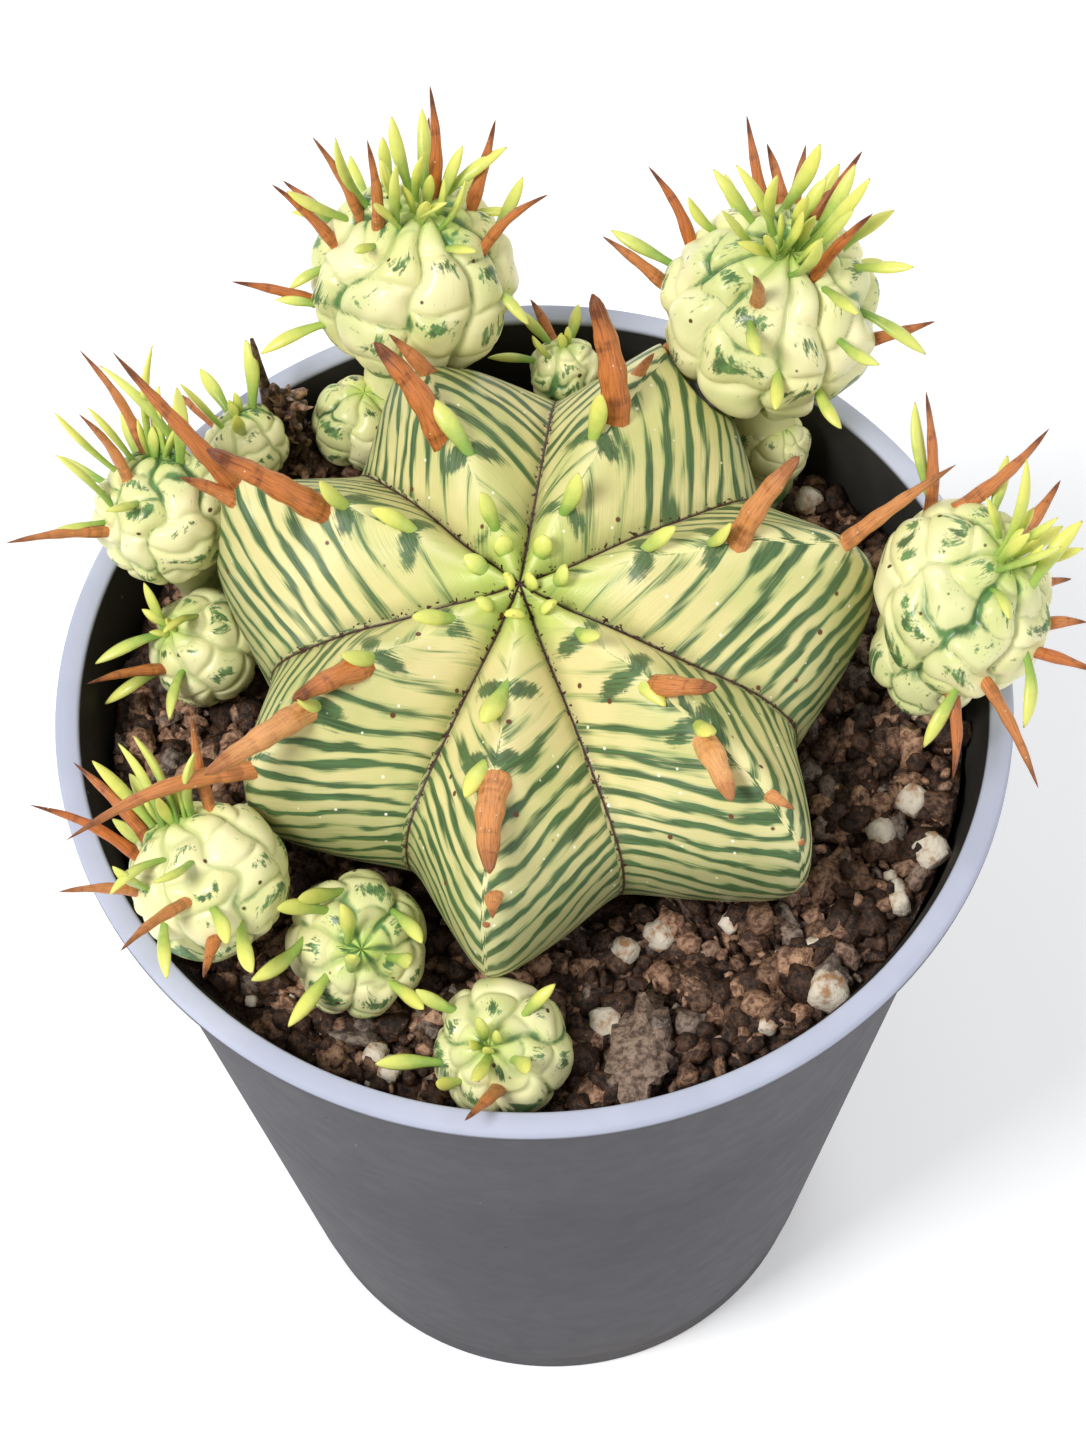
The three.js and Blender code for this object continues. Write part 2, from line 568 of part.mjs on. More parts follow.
function mixGeometry() {
  const base = FLOOR + 0.3;
  const rings = [0, 28, 38, 44.5, 49.5, 54, 58, 61.5];
  const profile = [
    [0, base],
    [innerWall(FLOOR) - 3.7, base],
    [innerWall(FLOOR) - 1.9, base + 1.7],
    [innerWall(MIX_LEVEL), MIX_LEVEL],
    ...rings.reverse().map((r) => [r, MIX_LEVEL]),
  ];
  const points = profile.map(([r, z]) => new THREE.Vector2(r, z));
  const geometry = new THREE.LatheGeometry(points, POT_SIDES).rotateX(Math.PI / 2);
  const position = geometry.attributes.position;
  for (let i = 0; i < position.count; i += 1) {
    const x = position.getX(i);
    const y = position.getY(i);
    if (position.getZ(i) < MIX_LEVEL - 0.1) continue;
    const z = mixHeight(x, y);
    const edge = Math.min(1, (innerWall(z) - GAP) / Math.hypot(x, y));
    position.setXYZ(i, x * edge, y * edge, z);
  }
  return facingOut(geometry);
}

// A bark chip or a pale grain lying in the surface, where no head covers the mix.
function loosePiece(i, grain) {
  const a = i * 137.5 + (grain ? 40 : 0);
  const r = 46 + 13 * (((i * 0.618) % 1));
  const x = r * Math.cos(radians(a));
  const y = r * Math.sin(radians(a));
  if (mixHeight(x, y) < openMix(x, y)) return null;
  for (const offset of Object.values(OFFSETS)) {
    if (Math.hypot(x - offset.foot[0], y - offset.foot[1]) < offset.stem + 7) return null;
  }
  const size = grain ? 2.1 : 3.4 + 1.6 * ((i * 0.37) % 1);
  const geometry = grain
    ? new THREE.OctahedronGeometry(size, 0)
    : new THREE.BoxGeometry(size * 1.9, size, 2.6);
  geometry.rotateX(0.5 * Math.sin(i * 2.1));
  geometry.rotateY(0.5 * Math.cos(i * 1.3));
  geometry.rotateZ(i * 0.9);
  return solidOf(geometry.translate(x, y, mixHeight(x, y) + 0.3));
}

function mix() {
  let solid = solidOf(mixGeometry());
  for (let i = 0; i < CHIP_COUNT + GRAIN_COUNT; i += 1) {
    const piece = loosePiece(i, i >= CHIP_COUNT);
    if (piece) solid = solid.add(piece);
  }
  const top = new THREE.Vector3(AXIS.x, AXIS.y, APEX);
  const foot = new THREE.Vector3(AXIS.x, AXIS.y, MAIN_STEM_FOOT - GAP);
  solid = solid.subtract(solidOf(peg(MAIN_STEM_RADIUS + GAP, top, foot, 16)));
  for (const offset of Object.values(OFFSETS)) {
    const { centre, end } = stemLine(offset, HOLE_DEPTH + GAP);
    solid = solid.subtract(solidOf(peg(offset.stem + GAP * 1.1, centre, end, 8)));
  }
  return solid;
}

function meshOf(name, solid, colour, roughness) {
  const material = new THREE.MeshStandardMaterial({ color: colour, roughness, metalness: 0 });
  const mesh = new THREE.Mesh(geometryOf(solid), material);
  mesh.name = name;
  return mesh;
}

const plant = new THREE.Group();
plant.name = 'potted_melon_spurge';
plant.add(meshOf('pot', pot(), '#6e6d73', 0.55));
plant.add(meshOf('bark_mix', mix(), '#4b3226', 0.95));
plant.add(meshOf('main_head', mainHead(), '#b9bf86', 0.6));
for (const [name, offset] of Object.entries(OFFSETS)) {
  plant.add(meshOf(name, offsetHead(offset), '#d3dc98', 0.6));
}

export default plant;
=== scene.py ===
"""Potted variegated melon spurge: the looks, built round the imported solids."""

import math

import bmesh
import bpy
import numpy as np
from mathutils import Matrix, Vector, noise


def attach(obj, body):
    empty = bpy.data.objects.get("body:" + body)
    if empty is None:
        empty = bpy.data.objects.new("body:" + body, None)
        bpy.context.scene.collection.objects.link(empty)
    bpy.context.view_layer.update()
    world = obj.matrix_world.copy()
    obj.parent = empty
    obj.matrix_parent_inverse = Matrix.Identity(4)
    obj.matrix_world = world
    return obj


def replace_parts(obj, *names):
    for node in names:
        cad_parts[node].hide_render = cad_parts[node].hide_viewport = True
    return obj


MM = 0.001

# Pot, in millimetres.
POT_HEIGHT = 165
RIM_RADIUS = 70
RIM_LAND = 3
LIP_HEIGHT = 2.5
FOOT_RADIUS = 47.4
FOOT_HEIGHT = 9
FOOT_STEP = 1.1
SHOULDER_RADIUS = 66.8
WALL = 1.6
FLOOR = 2.5
DRAIN_HOLES = 6
DRAIN_RADIUS = 3.5
DRAIN_CIRCLE = 31
DRAIN_BAND = (24, 38)
POT_SIDES = 192

# Mix. A mound is (x, y, height, spread).
MIX_LEVEL = 151.5
BED_RADIUS = 63.4
BED_ROWS, BED_SIDES = 60, 220
HEAP = (-40, 48, 8, 260)
DIP = (34, 54, 3.5, 500)
SPLINTER_HEAP = (-38, 50, 15, 50)
CRUMBS, CHIPS, SPLINTERS, SMALL_GRAINS = 4000, 90, 230, 45
CRUMB_BAND, CHIP_BAND, GRAIN_BAND = (33, 62), (40, 59), (42, 61)
SPLINTER_REACH = 62
SPIKE_FOOT = (-37.5, 50, 157)
SPIKE_LENGTH = 26

# Gaps from the mix to the main head, round and below the other globes, and from splinters to
# the globes.
HEAD_GAP, GLOBE_GAP, GLOBE_DROP, SPLINTER_GAP = 1.4, 1.8, 0.9, 1.1

# Main head. Each rib is (azimuth of its crest, azimuth of the furrow before it, reach of the
# crest, reach of the furrow). A flank has FLANK columns. PRESS is the gap to the heads that
# press into it. From the FULL radii outwards, a rib's own reach counts fully.
AXIS = np.array([-1.2, 4.7])
APEX = 185
RIBS = [
    (5.8, -25.2, 51.5, 42.5),
    (59.8, 28.9, 53, 42),
    (109.8, 80.5, 47, 41),
    (155, 130.4, 49.5, 36.5),
    (214.1, 188.7, 47.5, 37),
    (262.9, 242.7, 53, 38),
    (312.4, 288.1, 56, 41),
]
FLANK = 22
CREST_REACH = 50
CREST_FULL = 40
FURROW_REACH = 39.4
FURROW_FULL = 34
MAIN_STEM_RADIUS = 13
PRESS = 0.9

# Profiles from the apex to the underside, as (radius, height above the apex). The first
# CREST_TOP points of the crest run outwards.
CREST_TOP = 13
CREST = [
    (0, 0), (4, 0.8), (9, 1.9), (15, 3.1), (21, 4), (27, 4.4), (33, 4.1), (38, 3), (42, 1.5),
    (45.5, -0.6), (48, -2.9), (49.6, -6), (50, -10), (49.8, -14.5), (48.6, -19), (46, -24),
    (42, -28.5), (36, -32), (27, -33.6), (16, -34), (0, -34),
]
FURROW = [
    (0, 0), (3.6, -0.6), (8, -1.2), (13, -1.9), (18, -2.6), (23, -3.4), (27.5, -4.3), (31, -5.2),
    (34, -6.3), (36.3, -7.7), (38, -9.4), (39, -11.6), (39.4, -14), (39.4, -17), (38.8, -20.3),
    (37.4, -24), (34.6, -28), (30.5, -31.5), (24, -33.4), (15, -34), (0, -34),
]

# Leaves and old flower stalks of the main head: (rib, radius along its crest, side step,
# bearing, tilt from the vertical, length). A stalk also has its width and a tone from 0, dark
# brown, to 1, pale tan.
MAIN_LEAVES = [
    (2, 21, -1, 130, 40, 9), (2, 9, 0, 130, 30, 6), (1, 24, 1, 55, 30, 8), (1, 12, 0, 50, 30, 7),
    (0, 17, 1, 0, 45, 7), (0, 27, 1, -20, 35, 7), (6, 12, 0, -55, 45, 7), (6, 22, -1, -55, 60, 7),
    (6, 34, 0, -75, 55, 7), (5, 18, 0, -110, 70, 9), (5, 30, -1, -115, 60, 7),
    (4, 11, 0, -155, 45, 7), (4, 23, -1, -150, 50, 8), (4, 34, 0, -130, 50, 7),
    (3, 16, -1, 170, 45, 7), (3, 26, -1, 170, 45, 7), (1, 5, 0, 60, 30, 3.5),
    (4, 5, 0, 215, 35, 3), (6, 5, 0, -45, 35, 3), (5, 4.5, 0, -100, 40, 3),
    (3, 5, 0, 160, 35, 3.5), (0, 5, 0, 5, 35, 3.5), (2, 5, 0, 110, 35, 3),
    (0, 1.2, 0, 30, 10, 2.6), (3, 1.4, 0, 200, 15, 2.4),
]
# Stubs left on the crests by fallen stalks, as (rib, radius, side step).
MAIN_STUBS = [
    (5, 46.7, 0), (5, 50.8, 0), (6, 44, 1), (6, 49, 1), (6, 54, 0), (0, 34.5, 1.5), (0, 36.5, 0),
    (0, 43.5, -0.5), (1, 46.5, 0.5), (3, 45, -0.5), (4, 31, 1), (2, 33, -1),
]
MAIN_STALKS = [
    (2, 26, 2, 135, 45, 17, 2.2, 0.1), (2, 38, -1, 150, 45, 9, 1.5, 0.5),
    (1, 29, 0, 105, 30, 20, 2.3, 0.1), (1, 38, 1, 25, 35, 5, 1.2, 0.6),
    (0, 31, 0, 30, 35, 17, 2, 0.5), (0, 46, 0, 10, 45, 22, 1.4, 0.3),
    (6, 26, 0, -30, 55, 12, 1.8, 0.4), (6, 37, -1, -75, 75, 12, 2, 0.9),
    (5, 34, 0, -95, 80, 15, 2.2, 0.35), (5, 48, 1, -95, 60, 6, 1.4, 0.5),
    (4, 26, 0, -140, 65, 14, 2, 0.3), (4, 36, 0, -135, 70, 20, 2.1, 0.9),
    (4, 46, 0, -150, 73, 29, 1.5, 0.4), (3, 30, 1, 170, 50, 20, 2.2, 0.3),
    (3, 44, 0, 147, 42, 28, 1.6, 0.2), (3, 43, 2, 172, 55, 10, 1.5, 0.5),
    (6, 48, 0, -50, 60, 6, 1.2, 0.6),
]

# Offsets. lean is (azimuth, angle from the vertical) of the head's own axis, foot is where its
# stem meets the mix, and stem is that stem's radius. ribs and tiers count the swellings round
# and down the head, crown the small leaves at its top. base is a second round body, as (x, y,
# z, radius). long stretches the head along y. Leaves and stalks are (turn, drop, bearing,
# tilt, length) in the head's frame.
OFFSETS = {}
OFFSETS["offset_back_left"] = dict(
    centre=(-15.2, 59.4, 186.5), radius=15.2, crown=10, ribs=9, tiers=6, lean=(46, 14),
    foot=(-22, 49.5), stem=5.5, base=(-25, 50.2, 163, 7.4), leaves=[
        (120, 35, 120, 40, 11), (125, 50, 135, 70, 9), (110, 70, 120, 75, 5),
        (140, 82, 160, 95, 5), (155, 95, 135, 65, 5), (160, 108, 155, 100, 9),
        (60, 25, 75, 30, 10), (70, 45, 70, 45, 6), (110, 20, 95, 30, 6), (170, 20, 105, 8, 10),
        (-165, 10, -90, 30, 8), (5, 20, -25, 35, 10), (-20, 42, -60, 70, 5),
        (-38, 52, -10, 42, 8), (-105, 30, -105, 45, 8), (175, 40, -165, 60, 5),
        (-70, 72, -90, 85, 6), (70, 80, 70, 75, 7), (15, 75, 15, 70, 7), (40, 55, 40, 55, 7),
    ], stalks=[
        (20, 15, 60, 25, 17), (-20, 35, 20, 25, 14), (-65, 45, -55, 32, 14),
        (155, 30, 95, 15, 14), (125, 42, 115, 35, 14), (135, 65, 120, 50, 13),
        (150, 100, 130, 80, 13), (40, 70, 40, 60, 12), (95, 85, 95, 80, 11),
    ])
OFFSETS["offset_back_right"] = dict(
    centre=(37.2, 50, 187.5), radius=16, crown=10, ribs=9, tiers=6, lean=(2, 11), foot=(37, 41),
    stem=4.6, base=(38.5, 42.5, 163, 5.6), leaves=[
        (125, 32, 135, 42, 8), (122, 18, 130, 25, 9), (90, 35, 55, 42, 10), (70, 22, 45, 25, 7),
        (-165, 6, 0, 20, 8), (-175, 12, -160, 40, 8), (20, 10, 15, 30, 14), (20, 40, 25, 42, 8),
        (-5, 40, -25, 60, 8), (-50, 30, -70, 60, 8), (-20, 65, -35, 75, 9), (-55, 60, -60, 65, 8),
        (-120, 50, -90, 70, 7), (-95, 75, -100, 85, 6), (-65, 92, -65, 95, 7),
        (140, 55, 150, 65, 6), (155, 85, 150, 80, 9), (60, 70, 60, 65, 8), (100, 85, 100, 75, 7),
        (30, 90, 30, 85, 7),
    ], stalks=[
        (145, 80, 125, 60, 14), (100, 45, 110, 50, 15), (85, 52, 110, 58, 9),
        (50, 40, 55, 42, 12), (-45, 20, 5, 20, 14), (-22, 85, 5, 65, 10), (165, 90, 150, 72, 11),
        (-125, 40, -130, 25, 13), (65, 55, 40, 58, 7), (75, 80, 75, 70, 12),
    ])
OFFSETS["offset_right"] = dict(
    centre=(61.6, 2.2, 182), radius=12.4, crown=6, ribs=7, tiers=6, lean=(6, 32),
    foot=(56.5, 3.5), stem=4.2, base=(57.5, -0.5, 172.5, 8.6), long=1.18, leaves=[
        (120, 70, 110, 62, 13), (80, 45, 85, 45, 8), (110, 15, 140, 35, 5),
        (180, 10, 115, 10, 12), (65, 12, -40, 20, 8), (-140, 20, -60, 20, 10),
        (-50, 25, 55, 18, 10), (-125, 30, -110, 45, 8), (-65, 68, -90, 95, 8),
        (-95, 110, -105, 120, 8), (30, 75, 30, 70, 7), (60, 95, 60, 90, 7),
    ], stalks=[
        (120, 72, 110, 55, 16), (105, 55, 40, 38, 16), (45, 35, 60, 42, 9), (-30, 65, -10, 50, 6),
        (-50, 70, -40, 58, 9), (-85, 92, -75, 88, 17), (-95, 118, -85, 112, 12),
        (15, 90, 15, 80, 9),
    ])
OFFSETS["offset_left"] = dict(
    centre=(-53, 25.4, 177.5), radius=10.3, crown=5, ribs=7, tiers=6, lean=(90, 40),
    foot=(-47.5, 27), stem=4, leaves=[
        (115, 42, 115, 45, 11), (110, 25, 110, 30, 9), (90, 5, 85, 12, 14), (-95, 20, 80, 14, 14),
        (-135, 12, 125, 12, 9), (-125, 25, -160, 14, 10), (130, 68, 120, 35, 10),
        (120, 88, 125, 85, 7), (160, 65, 150, 80, 7), (60, 70, 60, 60, 8), (30, 50, 30, 45, 8),
    ], stalks=[
        (140, 45, 130, 32, 13), (125, 95, 120, 85, 15), (50, 20, 75, 30, 17), (0, 60, 20, 50, 10),
    ])
OFFSETS["offset_left_rear"] = dict(
    centre=(-41.8, 42.8, 169), radius=6.4, crown=3, ribs=6, tiers=5, lean=(120, 24),
    foot=(-39, 40), stem=3, leaves=[
        (90, 30, 95, 20, 10), (-70, 30, -40, 25, 9), (0, 40, 0, 45, 7), (170, 40, 170, 45, 6),
    ], stalks=[
        (30, 55, 30, 50, 8),
    ])
OFFSETS["offset_left_low"] = dict(
    centre=(-48.6, 12.2, 160.5), radius=8.6, crown=3, ribs=6, tiers=5, lean=(183, 36),
    foot=(-46.5, 11.5), stem=3.2, leaves=[
        (-170, 30, 90, 25, 8), (-35, 15, -120, 30, 7), (-5, 15, 25, 42, 9), (30, 55, 20, 50, 8),
        (85, 50, 80, 60, 7),
    ], stalks=[
        (55, 45, 45, 32, 13),
    ])
OFFSETS["offset_front_left"] = dict(
    centre=(-46.4, -32.2, 172), radius=11.2, crown=5, ribs=7, tiers=6, lean=(125, 44),
    foot=(-43, -29), stem=4, leaves=[
        (90, 12, -85, 15, 12), (170, 8, -110, 15, 12), (50, 20, 40, 22, 11),
        (-140, 18, -145, 15, 10), (30, 28, -10, 20, 8), (130, 42, 115, 60, 8),
        (115, 62, 125, 45, 6), (160, 55, 130, 80, 8), (160, 92, 160, 105, 7),
        (175, 118, 160, 120, 8), (120, 90, 140, 105, 7), (20, 65, 20, 55, 7),
    ], stalks=[
        (50, 30, 25, 25, 14), (65, 45, 60, 36, 16), (100, 65, 95, 55, 11), (145, 80, 125, 80, 15),
        (150, 115, 140, 100, 8), (-110, 30, -125, 18, 15),
    ])
OFFSETS["offset_front_small"] = dict(
    centre=(-26.4, -38.2, 161), radius=10.2, crown=0, ribs=7, tiers=5, lean=(-76, 31),
    foot=(-26, -36.5), stem=3.6, leaves=[
        (-175, 60, -100, 45, 8), (-150, 45, -105, 55, 8), (-110, 55, -75, 60, 8),
        (-65, 40, -55, 42, 8), (55, 25, 50, 28, 8), (25, 45, 35, 50, 7), (-40, 20, 150, 20, 7),
        (120, 45, 20, 30, 7), (-135, 15, -175, 32, 7),
    ], stalks=[])
OFFSETS["offset_front"] = dict(
    centre=(-6.4, -54.2, 158.6), radius=9.8, crown=3, ribs=7, tiers=5, lean=(-120, 24),
    foot=(-6.2, -52.5), stem=3.4, leaves=[
        (-50, 55, -60, 60, 8), (-20, 45, -50, 35, 5), (25, 8, 30, 30, 8), (-110, 10, -165, 15, 6),
        (85, 25, 80, 30, 8), (160, 45, 155, 50, 5), (-110, 50, -100, 50, 6),
    ], stalks=[
        (32, 40, 0, 25, 11),
    ])
OFFSETS["offset_back"] = dict(
    centre=(7.1, 55.6, 166.5), radius=5.6, crown=3, ribs=6, tiers=5, lean=(100, 20), foot=(7, 54),
    stem=2.8, leaves=[
        (120, 35, 110, 40, 5), (40, 30, 40, 35, 6), (-30, 40, -30, 45, 5), (80, 60, 80, 55, 6),
    ], stalks=[
        (20, 50, 20, 45, 7),
    ])

# Perlite grains that stand out, as (x, y, size), and the large flat bark chip, as (x, y, turn).
GRAINS = [
    (54.7, -16.3, 2.3), (56.5, -25.2, 2.4), (49.8, -21.2, 2.2), (40, -45.6, 2.8),
    (8.2, -48.3, 2.6), (-24.5, -51.4, 2), (-22.4, -54.2, 2.1), (16.7, -34.9, 2.2),
    (11.7, -37.1, 1.8), (51.5, -32.2, 1.8), (43.8, 38.6, 2.2), (27.1, -33, 1.6), (31.2, -50, 1.5),
    (21.7, -47.4, 1.4),
]
LARGE_CHIP = (12.9, -53.6, 78)
LARGE_CHIP_SIZE = (8.5, 4, 2.2)

# Finer make of the offsets: rows and columns of a globe's skin, quilting of the second round
# bodies, turn from one crown leaf to the next, and what a stem's skin takes its colour from.
GLOBE_ROWS = 110
RIB_COLUMNS = 20
BASE_QUILT = {"ribs": 6, "tiers": 4}
CROWN_TURN = 137.5
STEM_SKIN = {"crease": 0.45, "cell": 0.7, "cap": 0.0, "u": 0.4, "v": 0.4, "crown": 0.0}

# Swept bodies: sides of their section, and how deep leaves and stalks start in the flesh.
SWEPT_SIDES = 10
LEAF_ROOT = 1.2
STALK_ROOT = 1.4

# Scale of the noise that frays the edges of the green.
RAGGED_SCALE = 420

rng = np.random.default_rng(11)

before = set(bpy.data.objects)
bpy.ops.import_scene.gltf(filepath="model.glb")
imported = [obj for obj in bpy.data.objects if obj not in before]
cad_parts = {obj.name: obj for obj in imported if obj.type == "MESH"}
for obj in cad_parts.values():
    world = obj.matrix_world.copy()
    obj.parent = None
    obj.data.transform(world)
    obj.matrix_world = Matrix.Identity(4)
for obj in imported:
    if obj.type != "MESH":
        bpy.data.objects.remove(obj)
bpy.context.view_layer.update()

# Camera: the fitted view of the photograph. Its own right, up and back directions are the
# columns of its turn.
CAMERA_PLACE = Vector((0.00122, -0.24168, 0.57918))
CAMERA_RIGHT = Vector((0.99906, -0.03770, -0.02146))
CAMERA_UP = Vector((0.04336, 0.86823, 0.49426))
CAMERA_LENS = 81.56


def placed(name, data):
    """A new object in the scene."""
    made = bpy.data.objects.new(name, data)
    bpy.context.scene.collection.objects.link(made)
    return made


def make_camera():
    data = bpy.data.cameras.new("camera")
    data.lens = CAMERA_LENS
    data.sensor_width = 36
    data.clip_start = 0.01
    back = CAMERA_RIGHT.cross(CAMERA_UP).normalized()
    right = CAMERA_RIGHT.normalized()
    up = back.cross(right)
    turn = Matrix((right, up, back)).transposed().to_4x4()
    camera = placed("camera", data)
    camera.matrix_world = Matrix.Translation(CAMERA_PLACE) @ turn
    bpy.context.scene.camera = camera


# Colours and node helpers.


def colour(code):
    """A hex screen colour as the linear colour that a shader takes."""
    parts = [int(code[i:i + 2], 16) / 255 for i in (1, 3, 5)]
    linear = [p / 12.92 if p <= 0.04045 else ((p + 0.055) / 1.055) ** 2.4 for p in parts]
    return (*linear, 1)


class Shader:
    """A material's node tree, with short calls for the nodes used here."""

    def __init__(self, name, roughness):
        self.material = bpy.data.materials.new(name)
        self.material.use_nodes = True
        self.tree = self.material.node_tree
        self.surface = self.tree.nodes["Principled BSDF"]
        self.constants({"Roughness": roughness})
        self.place = self.node("TexCoord").outputs["Object"]

    def constants(self, values):
        """Set fixed values on the shader's own sockets."""
        for key, value in values.items():
            self.surface.inputs[key].default_value = value

    def node(self, kind, inputs=None, **settings):
        made = self.tree.nodes.new("ShaderNode" + kind)
        for key, value in settings.items():
            setattr(made, key, value)
        for key, value in (inputs or {}).items():
            self.feed(made.inputs[key], value)
        return made

    def feed(self, socket, value):
        """Link another node's output, or set a number, or a colour from its hex code."""
        if isinstance(value, bpy.types.NodeSocket):
            self.tree.links.new(value, socket)
        else:
            socket.default_value = colour(value) if isinstance(value, str) else value

    def math(self, operation, a, b=0):
        return self.node("Math", {0: a, 1: b}, operation=operation).outputs[0]

    def add(self, a, b):
        return self.math("ADD", a, b)

    def times(self, a, b):
        return self.math("MULTIPLY", a, b)

    def swing(self, value, size, middle=0.5):
        """How far a value is from its middle, times a size."""
        return self.times(self.math("SUBTRACT", value, middle), size)

    def attributes(self, names):
        nodes = [self.node("Attribute", attribute_name=name) for name in names.split()]
        return [made.outputs["Fac"] for made in nodes]

    def vector(self, x, y, z):
        return self.node("CombineXYZ", {0: x, 1: y, 2: z}).outputs[0]

    def scaled(self, vector, factors):
        inputs = {0: vector, 1: factors}
        return self.node("VectorMath", inputs, operation="MULTIPLY").outputs[0]

    def noise(self, scale, detail=3, roughness=0.55, at=None):
        inputs = {"Vector": at or self.place, "Scale": scale, "Detail": detail,
                  "Roughness": roughness}
        return self.node("TexNoise", inputs).outputs["Fac"]

    def ramp(self, value, low, high, start=0, end=1):
        inputs = {"Value": value, "From Min": low, "From Max": high,
                  "To Min": start, "To Max": end}
        made = self.node("MapRange", inputs, interpolation_type="SMOOTHSTEP")
        return made.outputs[0]

    def mix(self, share, first, second):
        made = self.node("Mix", data_type="RGBA")
        self.feed(made.inputs["Factor"], share)
        self.feed(made.inputs["A"], first)
        self.feed(made.inputs["B"], second)
        return next(o for o in made.outputs if o.type == "RGBA")

    def freckles(self, scale, size, share):
        """Small round spots in a share of the cells of a scatter."""
        cells = self.node("TexVoronoi", {"Vector": self.place, "Scale": scale})
        pick = self.node("SeparateColor", {0: cells.outputs["Color"]}).outputs[0]
        spot = self.ramp(cells.outputs["Distance"], size, size * 0.6)
        return self.times(spot, self.math("LESS_THAN", pick, share))

    def paint(self, base, height=None, strength=0.3, distance=0.0004, roughness=None):
        self.feed(self.surface.inputs["Base Color"], base)
        if roughness is not None:
            self.feed(self.surface.inputs["Roughness"], roughness)
        if height is not None:
            inputs = {"Height": height, "Strength": strength, "Distance": distance}
            bump = self.node("Bump", inputs)
            self.feed(self.surface.inputs["Normal"], bump.outputs[0])
        return self.material


def fleshy(shader, weight=0.12):
    """Let some light through the skin, as flesh does."""
    shader.constants({
        "Subsurface Weight": weight, "Subsurface Radius": (1, 0.9, 0.35),
        "Subsurface Scale": 0.0015, "Specular IOR Level": 0.35})


def main_flesh():
    """Pale skin with streaky green bands that run across each flank in outward chevrons."""
    s = Shader("main_flesh", 0.42)
    band, cross, tone, seam = s.attributes("band cross tone seam")
    reach, crest, phase, mark = s.attributes("reach crest phase mark")
    flank = s.vector(band, cross, tone)
    warp = s.noise(2.4, 2, at=s.scaled(flank, (0.07, 0.07, 1)))
    streaks = s.noise(1, 4, 0.6, s.scaled(flank, (2, 0.2, 1)))
    fading = s.noise(1.3, 2, at=s.scaled(flank, (0.16, 0.12, 1)))
    ragged = s.noise(RAGGED_SCALE, 4, 0.65)
    # Green bands: a wave along the rib, warped, streaked, fading in places and inwards.
    wave = s.math("SINE", s.times(s.add(phase, s.times(warp, 1.3)), 2 * math.pi))
    outward = s.ramp(reach, 14, 36, -0.7, 0.42)
    level = s.add(s.add(wave, s.swing(streaks, 2.6)), s.add(outward, s.swing(fading, 3)))
    stripe = s.ramp(level, 0.42, 1.2)
    halo = s.ramp(level, -0.2, 0.7)
    mark = s.add(s.add(mark, s.swing(ragged, 0.9)), s.swing(streaks, 1.1))
    green = s.math("MAXIMUM", stripe, s.ramp(mark, 0.42, 0.74))
    # Pale ground: greyer outwards, greener at the crown, paler on the crests.
    pale = s.mix(s.ramp(s.noise(60), 0.35, 0.65), "#E8DA9C", "#D3D08A")
    pale = s.mix(s.ramp(reach, 40, 66), pale, "#B9B57F")
    pale = s.mix(s.ramp(reach, 17, 3), pale, "#C5D56B")
    pale = s.mix(s.times(s.ramp(crest, 0.75, 1), 0.5), pale, "#F4EDB4")
    pale = s.mix(s.times(halo, 0.5), pale, "#94AB66")
    dark = s.mix(s.ramp(streaks, 0.35, 0.65), "#254628", "#466E40")
    skin = s.mix(s.times(green, 0.92), pale, dark)
    # Darker olive along the furrows, partly the green of the furrow and partly painted shade in
    # the crease, then brown dotted seams in the furrows, and freckles.
    dots = s.ramp(s.noise(1300, 2), 0.56, 0.66)
    seam_edge = s.math("SUBTRACT", seam, s.times(dots, 0.55))
    skin = s.mix(s.ramp(seam, 2.2, 0.2, 0, 0.35), skin, "#5E6B35")
    skin = s.mix(s.ramp(seam_edge, 0.36, 0.05), skin, "#43261C")
    skin = s.mix(s.freckles(230, 0.12, 0.55), skin, "#6B3F26")
    skin = s.mix(s.freckles(420, 0.12, 0.3), skin, "#FAF6DC")
    grain = s.add(s.times(stripe, -0.5), s.times(streaks, 0.6))
    fleshy(s)
    return s.paint(skin, grain, 0.35, 0.0005, s.ramp(streaks, 0.3, 0.7, 0.3, 0.42))


def offset_flesh():
    """Pale quilted skin with green in its creases, partly painted crease shade, and dark dabs
    round the leaf bases.
    """
    s = Shader("offset_flesh", 0.31)
    crease, cell, crown, cap, u, v = s.attributes("crease cell crown cap u v")
    ragged = s.noise(RAGGED_SCALE, 4, 0.65)
    patch = s.noise(85, 2)
    brush = s.noise(1.6, 4, 0.65, s.scaled(s.vector(u, v, cell), (3.2, 1.3, 30)))
    edge = s.add(s.add(crease, s.swing(patch, 5, 0.518)), s.swing(ragged, 1.6))
    dab = s.add(s.add(cap, s.swing(brush, 3.2)), s.swing(patch, 1.2))
    green = s.math("MAXIMUM", s.ramp(edge, 0.7, 1.4), s.ramp(dab, 0.5, 0.95))
    pale = s.mix(s.ramp(cell, 0, 1), "#FBF3C2", "#EDE9A8")
    pale = s.mix(s.ramp(s.noise(120), 0.4, 0.65), pale, "#F3EDB6")
    pale = s.mix(s.ramp(patch, 0.42, 0.62, 0, 0.45), pale, "#BBCB76")
    pale = s.mix(s.times(crown, 0.8), pale, "#B4D04E")
    # Soft green in every crease: partly the skin's own green, partly painted shade in the creases.
    skin = s.mix(s.ramp(crease, 0.35, 1, 0, 0.45), pale, "#8FA85A")
    dark = s.mix(s.ramp(ragged, 0.4, 0.6), "#24572E", "#56884A")
    skin = s.mix(s.times(green, 0.9), skin, dark)
    skin = s.mix(s.freckles(260, 0.12, 0.6), skin, "#5E4426")
    fleshy(s)
    return s.paint(skin, s.noise(1400), 0.12, 0.0003)


